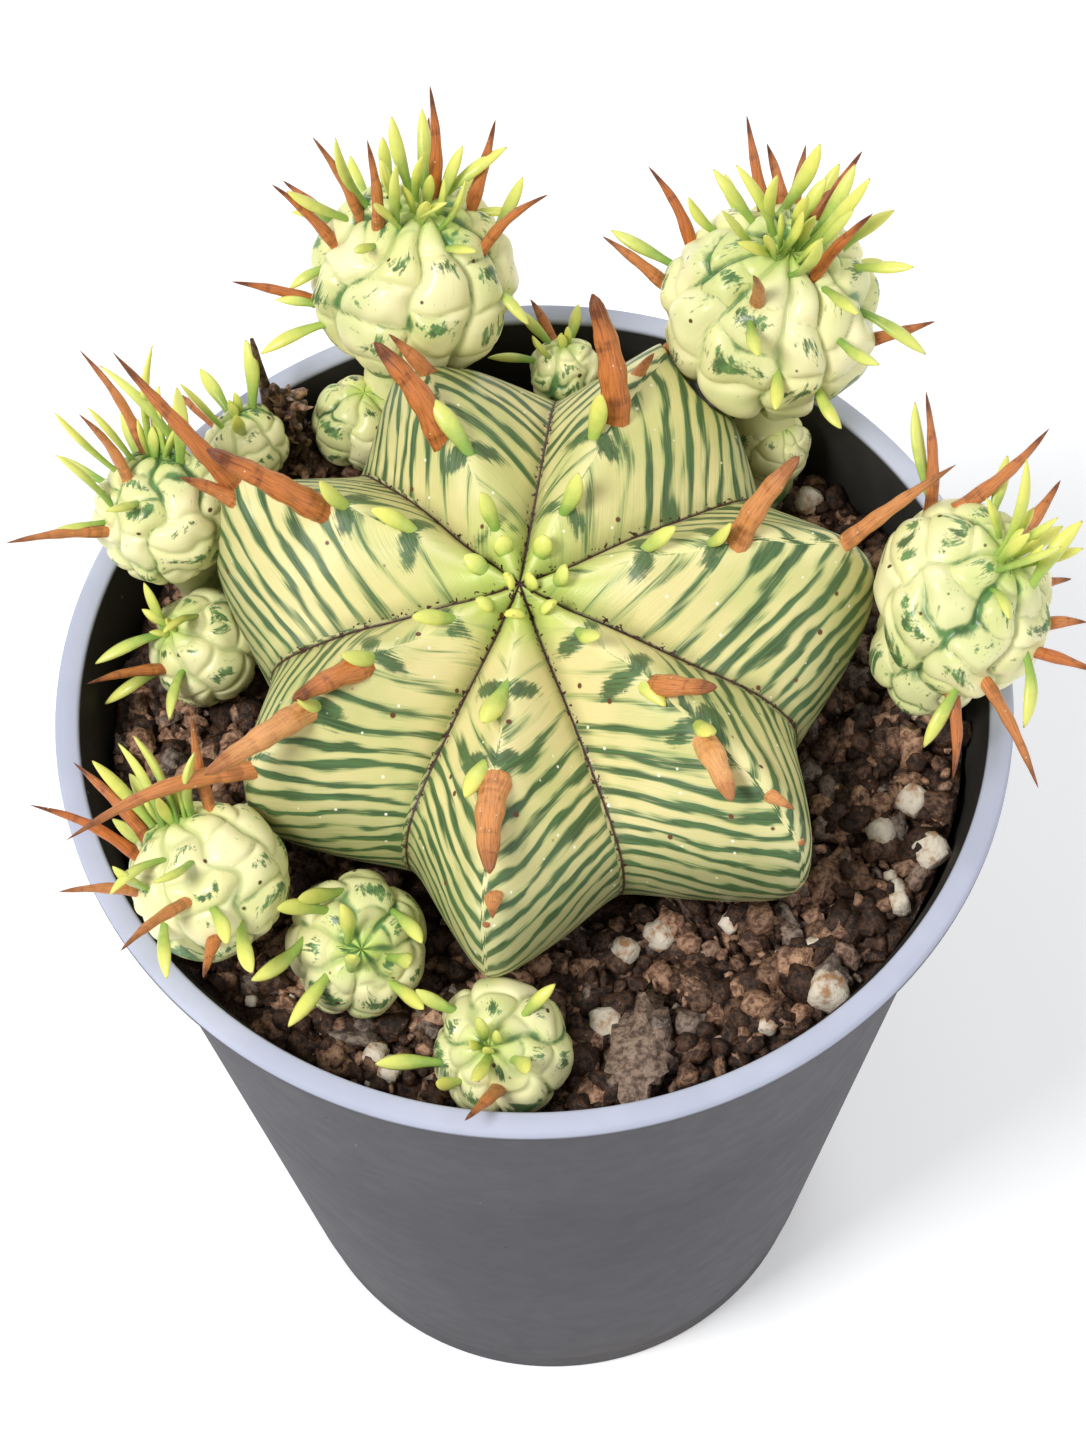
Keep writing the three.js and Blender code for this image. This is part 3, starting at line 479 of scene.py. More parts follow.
def leaf_skin():
    """Fresh leaf: green at its base, yellow towards a dry point."""
    s = Shader("leaf_skin", 0.3)
    along, tone = s.attributes("along tone")
    tip = s.mix(tone, "#EAE777", "#DDE27A")
    base = s.mix(tone, "#A5C05C", "#7FA84E")
    shade = s.add(along, s.swing(s.noise(500), 0.5))
    skin = s.mix(s.ramp(shade, 0.1, 0.85), base, tip)
    skin = s.mix(s.ramp(along, 0.965, 1, 0, 0.6), skin, "#A98A3A")
    fleshy(s, 0.2)
    return s.paint(skin, s.noise(1500, at=s.scaled(s.place, (1, 1, 0.3))), 0.15, 0.0003)


def stalk_wood():
    """Dry flower stalk: fibrous orange-brown wood, darker in rings and at its tip."""
    s = Shader("stalk_wood", 0.33)
    along, around, tone = s.attributes("along around tone")
    grown = s.vector(along, around, tone)
    fibre = s.noise(3, 5, at=s.scaled(grown, (2.2, 7, 1)))
    ring = s.noise(1.5, at=s.scaled(grown, (9, 0.5, 1)))
    wood = s.mix(tone, "#CC6A22", "#F2B272")
    dark = s.mix(tone, "#54220C", "#A9622F")
    share = s.add(s.ramp(fibre, 0.4, 0.7, 0, 0.6), s.ramp(ring, 0.5, 0.7, 0, 0.45))
    share = s.times(share, s.math("SUBTRACT", 1, s.times(tone, 0.45)))
    share = s.add(share, s.ramp(along, 0.65, 0.95, 0, 0.65))
    skin = s.mix(s.math("MINIMUM", share, 1), wood, dark)
    skin = s.mix(s.freckles(900, 0.16, 0.2), skin, "#E7C79B")
    return s.paint(skin, s.add(fibre, s.times(ring, 0.6)), 0.6, 0.0005)


def pot_plastic():
    """Grey plastic with faint scratches, specks and soil dust; its top edge painted paler as
    painted light, and the inside painted darker as painted shade.
    """
    s = Shader("pot_plastic", 0.45)
    height = s.node("SeparateXYZ", {0: s.place}).outputs["Z"]
    [inside] = s.attributes("inside")
    cloud = s.noise(35, 4)
    blotch = s.ramp(cloud, 0.4, 0.7)
    wall = s.mix(s.ramp(cloud, 0.35, 0.7), "#48474C", "#4C4B50")
    scratch = s.noise(420, 5, at=s.scaled(s.place, (1, 1, 0.12)))
    wall = s.mix(s.ramp(scratch, 0.7, 0.78, 0, 0.12), wall, "#69686E")
    wall = s.mix(s.freckles(120, 0.05, 0.22), wall, "#1E1815")
    wall = s.mix(s.freckles(170, 0.05, 0.1), wall, "#8A898F")
    dust = s.ramp(s.noise(60, 5), 0.42, 0.62)
    dust = s.times(s.ramp(height, 30 * MM, 6 * MM), dust)
    wall = s.mix(s.times(dust, 0.5), wall, "#4A433E")
    # Painted light: the top face of the edge is the same plastic as the wall, painted paler where
    # it faces up to the lamps.
    painted_light_top = s.mix(blotch, "#B3B7C9", "#C1C5D6")
    painted_light_band = s.ramp(height, (POT_HEIGHT - 1.8) * MM, (POT_HEIGHT - 0.8) * MM)
    skin = s.mix(painted_light_band, wall, painted_light_top)
    # Painted shade: the inner wall and the top of the floor are the same plastic, painted darker
    # as the shade inside the pot, with pale specks.
    dark = s.mix(blotch, "#2A2826", "#3A3836")
    dark = s.mix(s.freckles(260, 0.08, 0.25), dark, "#8C857A")
    skin = s.mix(inside, skin, dark)
    s.constants({"Specular IOR Level": 0.14})
    return s.paint(skin, roughness=s.ramp(s.noise(220, 4), 0.3, 0.7, 0.58, 0.64))


def bark():
    """Bark from dark to warm brown to grey by its tone, gritty, with some glossy grains."""
    s = Shader("bark", 0.9)
    [tone] = s.attributes("tone")
    grit = s.noise(900, 5, 0.65)
    light_grit = s.ramp(grit, 0.35, 0.65)
    dark = s.mix(light_grit, "#1B100A", "#573A28")
    warm = s.mix(light_grit, "#6A4430", "#CFA382")
    grey = s.mix(light_grit, "#54453C", "#9B8A7C")
    skin = s.mix(s.ramp(tone, 0.2, 0.75), dark, warm)
    skin = s.mix(s.ramp(tone, 0.8, 0.95), skin, grey)
    return s.paint(skin, grit, 0.8, 0.0009, s.ramp(grit, 0.4, 0.62, 0.75, 0.22))


def perlite():
    """Off-white grains with brown stains."""
    s = Shader("perlite", 0.8)
    stain = s.ramp(s.noise(500, 4), 0.45, 0.7)
    skin = s.mix(stain, "#E4D8C4", "#AE8159")
    return s.paint(skin, s.noise(1500, 4), 0.5, 0.0006)


# Mesh helpers. Points are in millimetres.


def make_piece(name, points, faces, material, attributes, replaces=None):
    mesh = bpy.data.meshes.new(name)
    mesh.from_pydata((np.asarray(points, float) * MM).tolist(), [], faces)
    for key, values in attributes.items():
        layer = mesh.attributes.new(key, "FLOAT", "POINT")
        layer.data.foreach_set("value", np.asarray(values, np.float32).ravel())
    mesh.polygons.foreach_set("use_smooth", [True] * len(mesh.polygons))
    mesh.materials.append(material)
    mesh.update()
    piece = placed(name, mesh)
    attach(piece, "root")
    if replaces:
        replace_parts(piece, replaces)
    return piece


def ring_faces(rows, columns):
    """Quads between rows of a closed ring of columns."""
    faces = []
    for a in range(0, (rows - 1) * columns, columns):
        b = a + columns
        for c in range(columns):
            d = (c + 1) % columns
            faces.append((a + c, a + d, b + d, b + c))
    return faces


def circle(count):
    """Even directions round the vertical, as rows of (cosine, sine)."""
    angle = np.arange(count) * 2 * math.pi / count
    return np.stack([np.cos(angle), np.sin(angle)], 1)


def unit(ways):
    """The same ways with length 1."""
    return ways / np.linalg.norm(ways, axis=-1, keepdims=True)


def smooth_curve(points, steps):
    """A curve through the points, with a number of steps between each two of them."""
    p = np.asarray(points, float)
    padded = np.vstack([2 * p[0] - p[1], p, 2 * p[-1] - p[-2]])
    out = []
    for i in range(1, len(padded) - 2):
        a, b, c, d = padded[i - 1:i + 3]
        for t in np.arange(steps) / steps:
            out.append(0.5 * (2 * b + (c - a) * t + (2 * a - 5 * b + 4 * c - d) * t * t
                              + (3 * b - a - 3 * c + d) * t ** 3))
    out.append(p[-1])
    return np.array(out)


def rough(points, scale, amount, seed):
    """Noise at each point, for shapes that aren't even."""
    shift = Vector((seed, seed * 1.7, -seed))
    return amount * np.array([noise.noise(Vector(p) * scale + shift) for p in points])


def direction(bearing, tilt):
    """The way of a bearing and a tilt from the vertical, for numbers or for arrays of them."""
    b, t = np.radians(bearing), np.radians(tilt)
    return np.stack([np.sin(t) * np.cos(b), np.sin(t) * np.sin(b), np.cos(t)], -1)


class Bundle:
    """Many small bodies gathered into one mesh, with values at their points."""

    def __init__(self):
        self.points = []
        self.faces = []
        self.values = {}
        self.count = 0

    def add(self, points, faces, **values):
        self.faces += [tuple(i + self.count for i in face) for face in faces]
        self.points.append(points)
        self.count += len(points)
        for name, value in values.items():
            spread = np.broadcast_to(np.asarray(value, float), len(points))
            self.values.setdefault(name, []).append(spread)

    def piece(self, name, material, slot):
        if not self.points:
            return None
        attributes = {key: np.concatenate(v) for key, v in self.values.items()}
        return make_piece(name, np.vstack(self.points), self.faces, material, attributes)


def swept(bundle, line, wide, thick, side, tone, cup=0.0):
    """A closed body along a line, its section an oval of the given half sizes, or cupped."""
    n = len(line)
    tangent = unit(np.gradient(line, axis=0))
    across = unit(side - (tangent @ side)[:, None] * tangent)
    face = np.cross(across, tangent)
    cos, sin = circle(SWEPT_SIDES).T
    rise = thick[:, None] * sin - cup * wide[:, None] * cos ** 2
    points = (line[:, None, :] + across[:, None, :] * (wide[:, None] * cos)[:, :, None]
              + face[:, None, :] * rise[:, :, None]).reshape(-1, 3)
    faces = ring_faces(n, SWEPT_SIDES)
    faces.append(tuple(reversed(range(SWEPT_SIDES))))
    faces.append(tuple(range((n - 1) * SWEPT_SIDES, n * SWEPT_SIDES)))
    along = np.repeat(np.linspace(0, 1, n), SWEPT_SIDES)
    around = np.tile(np.abs(np.arange(SWEPT_SIDES) / SWEPT_SIDES - 0.5) * 2, n)
    bundle.add(points, faces, along=along, around=around, tone=tone)


def sides_of(aim, up):
    """The ways sideways and upwards from an aim."""
    side = unit(np.cross(aim, up))
    return side, np.cross(side, aim)


def add_leaf(bundle, root, aim, up, length, width=1.25):
    """A fleshy leaf: narrow at its base, broadest past the middle, cupped, with a point."""
    v = np.linspace(0, 1, 20)
    side, face = sides_of(aim, up)
    lift = rng.uniform(-0.5, 0.35) * length
    sway = rng.uniform(-0.14, 0.14) * length
    line = (root - aim * LEAF_ROOT + np.outer(v, aim * (length * 1.12 + LEAF_ROOT))
            + np.outer(v ** 2.2, face * lift) + np.outer(np.sin(v * math.pi * 0.7), side * sway))
    swell = np.clip((v - 0.12) / 0.5, 0, 1)
    rise = 0.55 + 0.45 * swell * swell * (3 - 2 * swell)
    end = 1 - 0.9 * np.clip((v - 0.5) / 0.5, 0, 1) ** 2.9
    wide = width * (0.55 + 0.45 * min(1, length / 9)) * rise * end
    swept(bundle, line, wide, wide * 0.34 + 0.2 * end, side, rng.uniform(0, 1), 0.22)


def add_stalk(bundle, root, aim, up, length, width=1.15, tone=0.25):
    """An old flower stalk: a woody claw, bowed and blunt, that narrows less when it is thick."""
    v = np.linspace(0, 1, 22)
    side, face = sides_of(aim, up)
    bow = rng.uniform(0.02, 0.09) * length
    sway = rng.uniform(-0.05, 0.05) * length
    arc = np.sin(math.pi * v)
    line = (root - aim * STALK_ROOT + np.outer(v, aim * (length + STALK_ROOT))
            + np.outer(arc, face * bow) + np.outer(arc, side * sway))
    knots = 1 + 0.07 * np.sin(v * length * 1.3 + rng.uniform(0, 6))
    taper = 0.55 if width > 1.6 else 0.86
    wide = width * (1 - taper * v ** 1.9) * np.sqrt(np.maximum(1 - v ** 14, 0.03)) * knots
    swept(bundle, line, wide, wide * 0.78, side, np.clip(tone + rng.uniform(-0.15, 0.25), 0, 1))


def add_stub(bundle, root, aim):
    """The round stub of a fallen stalk."""
    v = np.linspace(0, 1, 9)
    line = root + np.outer(v * 2.4 - 1.1, aim)
    wide = 0.85 * np.sqrt(np.maximum(1 - v ** 2.5, 0.02))
    swept(bundle, line, wide, wide, sides_of(aim, (0.3, 0.2, 1))[0], 0.75)


# Main head.


def globes():
    """Every round body beside the main head, as (x, y, z, radius)."""
    found = [(*offset["centre"], offset["radius"]) for offset in OFFSETS.values()]
    return found + [offset["base"] for offset in OFFSETS.values() if "base" in offset]


def pressed(azimuth, height, radius):
    """The radius, cut short where a level line from the main axis meets a globe."""
    reach = radius.copy()
    dx, dy = np.cos(np.radians(azimuth)), np.sin(np.radians(azimuth))
    for x, y, z, size in globes():
        clear = size + PRESS
        tx, ty = x - AXIS[0], y - AXIS[1]
        along = tx * dx + ty * dy
        room = clear ** 2 - (height - z) ** 2 - (tx * tx + ty * ty - along ** 2)
        meet = along - np.sqrt(np.maximum(room, 0))
        reach = np.where((room > 0) & (along > 0), np.minimum(reach, meet), reach)
    return reach


def stretch(radius, change, full):
    """How far a rib's own reach moves a profile radius, more towards the outside."""
    return radius * (1 + change * np.minimum(1, radius / full) ** 2)


def rib_ways(rib):
    """Level directions out along a rib's crest and sideways from it."""
    azimuth = RIBS[rib][0]
    return direction(azimuth, 90), direction(azimuth + 90, 90)


def crest_point(rib, radius, step):
    """A point on a rib's crest at a radius, moved sideways by a step."""
    profile = np.array(CREST[:CREST_TOP], float)
    radii = stretch(profile[:, 0], RIBS[rib][2] / CREST_REACH - 1, CREST_FULL)
    height = APEX + np.interp(radius, radii, profile[:, 1]) - abs(step) * 0.3
    outward, sideways = rib_ways(rib)
    return np.array([*AXIS, height]) + radius * outward + step * sideways


def rib_columns():
    """For each column of the skin: its azimuth, its share of the way from furrow to crest, how
    far the crest and the furrow reach past their profiles, and the tone of its flank."""
    columns = []
    for rib, (top, before, reach, depth) in enumerate(RIBS):
        _, after, _, next_depth = RIBS[(rib + 1) % len(RIBS)]
        after += 360 if after < top else 0
        for k in range(2 * FLANK):
            rising = k < FLANK
            share = (k if rising else 2 * FLANK - k) / FLANK
            start, low = (before, depth) if rising else (after, next_depth)
            columns.append((
                start + (top - start) * share, share, reach / CREST_REACH - 1,
                low / FURROW_REACH - 1, rib * 3.7 + (0 if rising else 1.9)))
    return np.array(columns).T


def leaf_marks(flat):
    """Dark chevrons below the leaves of the main head, from 0 to 1 at each point."""
    mark = np.zeros(len(flat))
    for rib, radius, step, *_ in MAIN_LEAVES:
        outward, sideways = rib_ways(rib)
        root = crest_point(rib, radius, step)
        out = (flat - crest_point(rib, radius + 1.2, step)) @ outward
        off = np.abs((flat - root) @ sideways)
        low = np.abs(flat[:, 2] - root[2])
        spread = ((out + 0.35 * off) / 2.1) ** 2 + ((off - 2) / 3.4) ** 2 + (low / 9) ** 2
        mark = np.maximum(mark, min(1, radius / 14) * np.exp(-spread))
    return mark


def main_skin(material):
    crest, furrow = smooth_curve(CREST, 8), smooth_curve(FURROW, 8)
    rc, zc = np.maximum(crest[:, :1], 0), crest[:, 1:]
    rf, zf = np.maximum(furrow[:, :1], 0), furrow[:, 1:]
    azimuth, share, reach, depth, tone = rib_columns()
    # Section of a rib: nearly straight flanks, more rounded near the apex.
    bend = np.interp(rc, [15, 45], [0.35, 0.1])
    u = 1 - (np.sqrt((1 - share) ** 2 + bend ** 2) - bend) / (np.sqrt(1 + bend ** 2) - bend)
    rc = stretch(rc, reach, CREST_FULL)
    rf = stretch(rf, depth, FURROW_FULL)
    round_top = np.interp(rc, [20, 46], [0.55, 0.0])
    r = rf + (rc - rf) * u ** 1.45
    climb = u ** 1.05 * (1 - round_top) + (1 - (1 - u) ** 1.7) * round_top
    z = APEX + zf + (zc - zf) * climb
    az = np.broadcast_to(azimuth, r.shape)
    r = np.maximum(pressed(az, z, r), np.minimum(r, MAIN_STEM_RADIUS * 0.9))
    points = np.stack([
        AXIS[0] + r * np.cos(np.radians(az)), AXIS[1] + r * np.sin(np.radians(az)), z], -1)
    flat = points.reshape(-1, 3)
    # A low bump below every leaf, stalk and stub.
    for rib, radius, step, *_ in MAIN_LEAVES + MAIN_STALKS + MAIN_STUBS:
        size = 1.5 if radius < 8 else 2.8
        apart = ((flat - crest_point(rib, radius, step)) ** 2).sum(1)
        flat[:, 2] += 1.1 * np.exp(-apart / (2 * size ** 2))
    mark = leaf_marks(flat)
    flat[:, 2] += rough(flat, 0.09, 0.7, 3.0) * np.minimum(1, r.ravel() / 12)
    # Bands: lengths along the crest, slanted down each flank, closer together outwards.
    length = np.zeros(r.shape)
    length[1:] = np.cumsum(np.linalg.norm(np.diff(points, axis=0), axis=2), axis=0)
    along = np.broadcast_to(length[:, [int(np.argmax(share))]], r.shape)
    skew = (6 + 7 * np.minimum(1, along / 50)) * (1 - share) ** 0.95
    band = along + skew * np.minimum(1, along / 15)
    steps = np.arange(0, 140.0)
    period = np.interp(steps, [0, 20, 32, 46, 60], [12, 8.5, 6.2, 4.5, 3.7])
    phase = np.interp(band, steps, np.cumsum(1 / period)) + 0.37 * tone
    width = r * math.pi / len(RIBS)
    attributes = {
        "band": band, "phase": phase, "mark": mark, "reach": along,
        "cross": (1 - share) * width, "seam": share * width,
        "crest": np.broadcast_to(share, r.shape), "tone": np.broadcast_to(tone, r.shape),
    }
    faces = ring_faces(*r.shape)
    make_piece("main_head_skin", flat, faces, material, attributes, "main_head")


def main_repeats(leaf, wood):
    up = np.array([0, 0, 1.0])
    leaves = Bundle()
    for *place, bearing, tilt, length in MAIN_LEAVES:
        root = crest_point(*place) + up * 0.6
        add_leaf(leaves, root, direction(bearing, tilt), up, length, 1.6 if length > 4 else 2.2)
    leaves.piece("main_head_leaves", leaf, "main_flesh")
    stalks = Bundle()
    for *place, bearing, tilt, length, width, tone in MAIN_STALKS:
        root = crest_point(*place) + up * 0.5
        add_stalk(stalks, root, direction(bearing, tilt), up, length, width, tone)
    for rib, radius, step in MAIN_STUBS:
        aim = direction(RIBS[rib][0], 25 + max(0, radius - 42) * 5)
        add_stub(stalks, crest_point(rib, radius, step), aim)
    stalks.piece("main_head_stalks", wood, "main_flesh")


# Offsets.


def frame_of(offset):
    azimuth, angle = offset["lean"]
    axis = direction(azimuth, angle)
    down = direction(azimuth, angle + 90)
    return np.stack([down, np.cross(axis, down), axis])


def pillows(offset, turn, drop):
    """Quilted radius, and the values that the skin's colours need at each point."""
    flat = direction(turn, drop).reshape(-1, 3)
    seed = offset["radius"] * 3.1
    turn = turn + rough(flat, 1.9, 17.0, seed).reshape(turn.shape) * np.minimum(1, drop / 30)
    drop = drop + rough(flat, 2.4, 12.0, seed + 9).reshape(turn.shape) * np.minimum(1, drop / 20)
    step = 360 / offset["ribs"]
    rise = 180 / offset["tiers"]
    narrowing = np.sin(np.radians(np.clip(drop, 10, 170)))
    cell = turn / step
    number = np.round(cell)
    rib = np.mod(number, offset["ribs"])
    across = (cell - number) * 2
    level = drop / rise + 0.5 * (rib % 2) + 0.13 * rib
    tier = np.floor(level)
    down = (level - tier) * 2 - 1
    own = (rib * 0.618 + tier * 0.37) % 1
    half_width = math.radians(step / 2) * offset["radius"] * narrowing
    half_height = math.radians(rise / 2) * offset["radius"]
    furrow = np.exp(-((1 - np.abs(across)) * half_width / 0.7) ** 2)
    fold = np.exp(-((1 - np.abs(down)) * half_height / 0.6) ** 2)
    crease = np.maximum(furrow, fold * np.where(own > 0.2, 0.75, 0.4))
    cap = np.exp(-(across / 0.7) ** 2 - ((down + 0.25) / 0.45) ** 2)
    bulge = (1 - np.abs(across) ** 2.4) * (1 - 0.5 * np.abs(down) ** 2.6)
    top = np.maximum(np.cos(np.radians(drop)), 0) ** 3
    sunk = (0.105 * (1 - bulge) + 0.03 * crease) * np.minimum(1, narrowing * 1.6)
    radius = offset["radius"] * (1.03 - sunk - 0.1 * top - 0.05 * np.exp(-((drop / 14) ** 2)))
    return radius, {
        "crease": crease, "cell": own, "cap": cap * np.where(own > 0.35, 1, 0.3),
        "u": across, "v": down, "crown": np.exp(-((drop / 24) ** 2))}


def lengthened(offset, out):
    """A way out from a globe's centre, stretched along y if the offset is long."""
    return out * (1, offset.get("long", 1), 1)


def globe_mesh(offset, centre, size):
    """Points, faces and values of one quilted globe."""
    centre = np.array(centre, float)
    columns = offset["ribs"] * RIB_COLUMNS
    turn, drop = np.meshgrid(
        np.arange(columns) * 360 / columns, np.linspace(0, 180, GLOBE_ROWS))
    radius, values = pillows(offset, turn, drop)
    local = direction(turn, drop) * (radius * size / offset["radius"])[:, :, None]
    out = lengthened(offset, (local @ frame_of(offset)).reshape(-1, 3))
    points = out * (1 + rough(out + centre, 0.16, 0.06, 1.0))[:, None] + centre
    faces = ring_faces(GLOBE_ROWS, columns)
    return points, faces, {key: value.ravel() for key, value in values.items()}


def offset_skin(name, offset, material):
    bundle = Bundle()
    shapes = [(offset, offset["centre"], offset["radius"])]
    if "base" in offset:
        *centre, size = offset["base"]
        shapes.append((dict(offset, **BASE_QUILT), centre, size))
    for shape in shapes:
        points, faces, values = globe_mesh(*shape)
        bundle.add(points, faces, **values)
    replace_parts(bundle.piece(f"{name}_skin", material, "offset_flesh"), name)


def offset_stem(name, offset, material):
    centre = np.array(offset["centre"], float)
    foot = np.array([*offset["foot"], MIX_LEVEL - 8.0])
    v = np.linspace(0, 1, 16)
    size = offset["stem"] * (1.02 + 0.08 * np.sin(v * 19))
    bundle = Bundle()
    line = centre + np.outer(v, foot - centre)
    swept(bundle, line, size, size, np.array([1.0, 0.2, 0]), 0.5)
    for key, level in STEM_SKIN.items():
        bundle.values[key] = [np.full(bundle.count, level)]
    bundle.piece(f"{name}_stem", material, "offset_flesh")


def offset_repeats(name, offset, leaf, wood):
    axes = frame_of(offset)
    centre = np.array(offset["centre"], float)
    axis = axes[2]

    def root_at(turn, drop):
        radius = pillows(offset, np.array([float(turn)]), np.array([float(drop)]))[0]
        return centre + lengthened(offset, direction(turn, drop) @ axes * radius[0])

    leaves = Bundle()
    for turn, drop, bearing, tilt, length in offset["leaves"]:
        add_leaf(leaves, root_at(turn, drop), direction(bearing, tilt) @ axes, axis, length)
    for k in range(offset["crown"]):
        turn = CROWN_TURN * k + 20
        aim = direction(turn + 15, 7 + 3.2 * k) @ axes
        length = (0.36 + 0.04 * k) * offset["radius"]
        add_leaf(leaves, root_at(turn, 5 + 1.7 * k), aim, axis, length, 1.1)
    leaves.piece(f"{name}_leaves", leaf, "offset_flesh")
    stalks = Bundle()
    for turn, drop, bearing, tilt, length in offset["stalks"]:
        add_stalk(stalks, root_at(turn, drop), direction(bearing, tilt) @ axes, axis, length)
    stalks.piece(f"{name}_stalks", wood, "offset_flesh")


# Pot and mix.


def inner_wall(height):
    """Radius of the pot's inner wall at a height."""
    share = (height - FOOT_HEIGHT) / (POT_HEIGHT - LIP_HEIGHT - FOOT_HEIGHT)
    outer = FOOT_RADIUS + FOOT_STEP
    return outer + (SHOULDER_RADIUS - outer) * share - WALL


def drained_floor():
    """Both faces of the pot's floor, with drain holes, and which points are on the upper one."""
    points, faces = [], []

    def ring(flat, height):
        points.extend((x, y, height) for x, y in flat)
        return range(len(points) - len(flat), len(points))

    ways = circle(POT_SIDES)
    per = POT_SIDES // DRAIN_HOLES
    inner, outer = DRAIN_BAND
    for hole in range(DRAIN_HOLES):
        way = ways[np.arange(hole * per, (hole + 1) * per + 1) % POT_SIDES]
        border = np.vstack([way * outer, way[::-1] * inner])
        middle = way[per // 2] * DRAIN_CIRCLE
        edge = middle + unit(border - middle) * DRAIN_RADIUS
        low, low_edge = ring(border, 0), ring(edge, 0)
        high, high_edge = ring(border, FLOOR), ring(edge, FLOOR)
        for a, b in ((high, high_edge), (low_edge, low), (high_edge, low_edge)):
            faces += [(a[i - 1], a[i], b[i], b[i - 1]) for i in range(len(a))]
    faces.append(tuple(reversed(ring(ways * inner, 0))))
    faces.append(tuple(ring(ways * inner, FLOOR)))
    return points, faces, [float(z > 0) for _, _, z in points]


def pot(material):
    under, top = POT_HEIGHT - LIP_HEIGHT, POT_HEIGHT
    foot, step = FOOT_RADIUS, FOOT_RADIUS + FOOT_STEP
    land = RIM_RADIUS - RIM_LAND
    outside = [
        (DRAIN_BAND[1], 0), (foot - 0.8, 0), (foot - 0.2, 0.25), (foot, 0.9),
        (foot + 0.25, FOOT_HEIGHT - 0.7), (foot + 0.4, FOOT_HEIGHT - 0.2),
        (step, FOOT_HEIGHT + 0.1), (step + 0.2, FOOT_HEIGHT + 1),
        (inner_wall(103) + WALL, 103), (SHOULDER_RADIUS - 0.15, under - 1),
        (SHOULDER_RADIUS + 0.5, under), (RIM_RADIUS - 0.4, under), (RIM_RADIUS, under + 0.4),
        (RIM_RADIUS, top - 0.6), (RIM_RADIUS - 0.2, top - 0.2), (RIM_RADIUS - 0.6, top),
        (land, top), (land - 0.4, top - 0.2),
    ]
    inside = [
        (land - 0.6, top - 0.8), (inner_wall(under), under - 1.5), (inner_wall(100), 100),
        (inner_wall(FLOOR) - 1.5, FLOOR + 1.5), (inner_wall(FLOOR) - 3.5, FLOOR),
        (DRAIN_BAND[1], FLOOR),
    ]
    profile = np.array(outside + inside, float)
    mark = [0] * len(outside) + [1] * len(inside)
    cos, sin = circle(POT_SIDES).T
    wall = np.stack([
        profile[:, :1] * cos, profile[:, :1] * sin,
        np.repeat(profile[:, 1:], POT_SIDES, 1)], -1).reshape(-1, 3)
    floor, floor_faces, floor_shade_mark = drained_floor()
    faces = ring_faces(len(profile), POT_SIDES)
    faces += [tuple(i + len(wall) for i in face) for face in floor_faces]
    # The inside value is 1 on the inner wall and the top of the floor, where the pot is painted
    # darker as painted shade.
    attributes = {"inside": np.concatenate([np.repeat(mark, POT_SIDES), floor_shade_mark])}
    piece = make_piece(
        "pot_shell", np.vstack([wall, floor]), faces, material, attributes, "pot")
    # Wall and floor share their edges once their double points are joined.
    work = bmesh.new()
    work.from_mesh(piece.data)
    bmesh.ops.remove_doubles(work, verts=work.verts, dist=1e-6)
    work.to_mesh(piece.data)
    work.free()
    bevel = piece.modifiers.new("edges", "BEVEL")
    bevel.width = 0.0002
    bevel.segments = 1
    bevel.limit_method = "ANGLE"
    bevel.angle_limit = math.radians(50)


def mound(x, y, place):
    px, py, height, spread = place
    return height * np.exp(-((x - px) ** 2 + (y - py) ** 2) / spread)


def open_mix(x, y):
    """Height of the mix before it gives way to the heads: it also rises to the right."""
    t = np.clip((x - 30) / 32, 0, 1)
    waves = 0.9 * np.sin(0.42 * x + 1.1) * np.cos(0.37 * y - 0.4) + 0.6 * np.sin(0.8 * y + 0.5 * x)
    level = MIX_LEVEL + mound(x, y, HEAP) - mound(x, y, DIP)
    return level + 3.5 * t * t * (3 - 2 * t) + waves


def mix_height(x, y):
    """Height of the mix, held just clear of every head above it."""
    height = open_mix(x, y)
    # Underside of the main head: level to 30 mm out, then rising, more steeply from 44 mm.
    r = np.hypot(x - AXIS[0], y - AXIS[1])
    under = np.where(r < 30, -34, np.where(r < 44, -34 + (r - 30) * 0.35, -29 + (r - 44) * 2.4))
    height = np.where(r < 52, np.minimum(height, APEX + under - HEAD_GAP), height)
    for gx, gy, gz, size in globes():
        clear = size + GLOBE_GAP
        d = np.hypot(x - gx, y - gy)
        low = gz - np.sqrt(np.maximum(clear ** 2 - d ** 2, 0)) - GLOBE_DROP
        height = np.where(d < clear, np.minimum(height, low), height)
    return height


def mix_bed(material):
    """The ground below the crumbs, painted darkest as the shade in their gaps, closed by a skirt
    that reaches down to the pot's floor.
    """
    radius = np.linspace(BED_RADIUS, 0, BED_ROWS)
    cos, sin = circle(BED_SIDES).T
    x, y = (radius[:, None] * cos).ravel(), (radius[:, None] * sin).ravel()
    flat = np.stack([x, y, np.zeros_like(x)], 1)
    uneven = rough(flat, 0.35, 0.9, 2.0) + rough(flat, 0.8, 0.5, 5.0) - 0.6
    top = np.stack([x, y, mix_height(x, y) + uneven], 1)
    skirt = top[:BED_SIDES].copy()
    skirt[:, 2] = FLOOR + 0.3
    skirt[:, :2] *= (inner_wall(FLOOR) - 3.8) / BED_RADIUS
    points = np.vstack([skirt, top])
    faces = ring_faces(BED_ROWS + 1, BED_SIDES)
    faces.append(tuple(reversed(range(BED_SIDES))))
    # The bed takes the darkest bark tone, as painted shade in the gaps between the crumbs.
    make_piece("mix_bed", points, faces, material,
               {"tone": np.full(len(points), 0.02)}, "bark_mix")


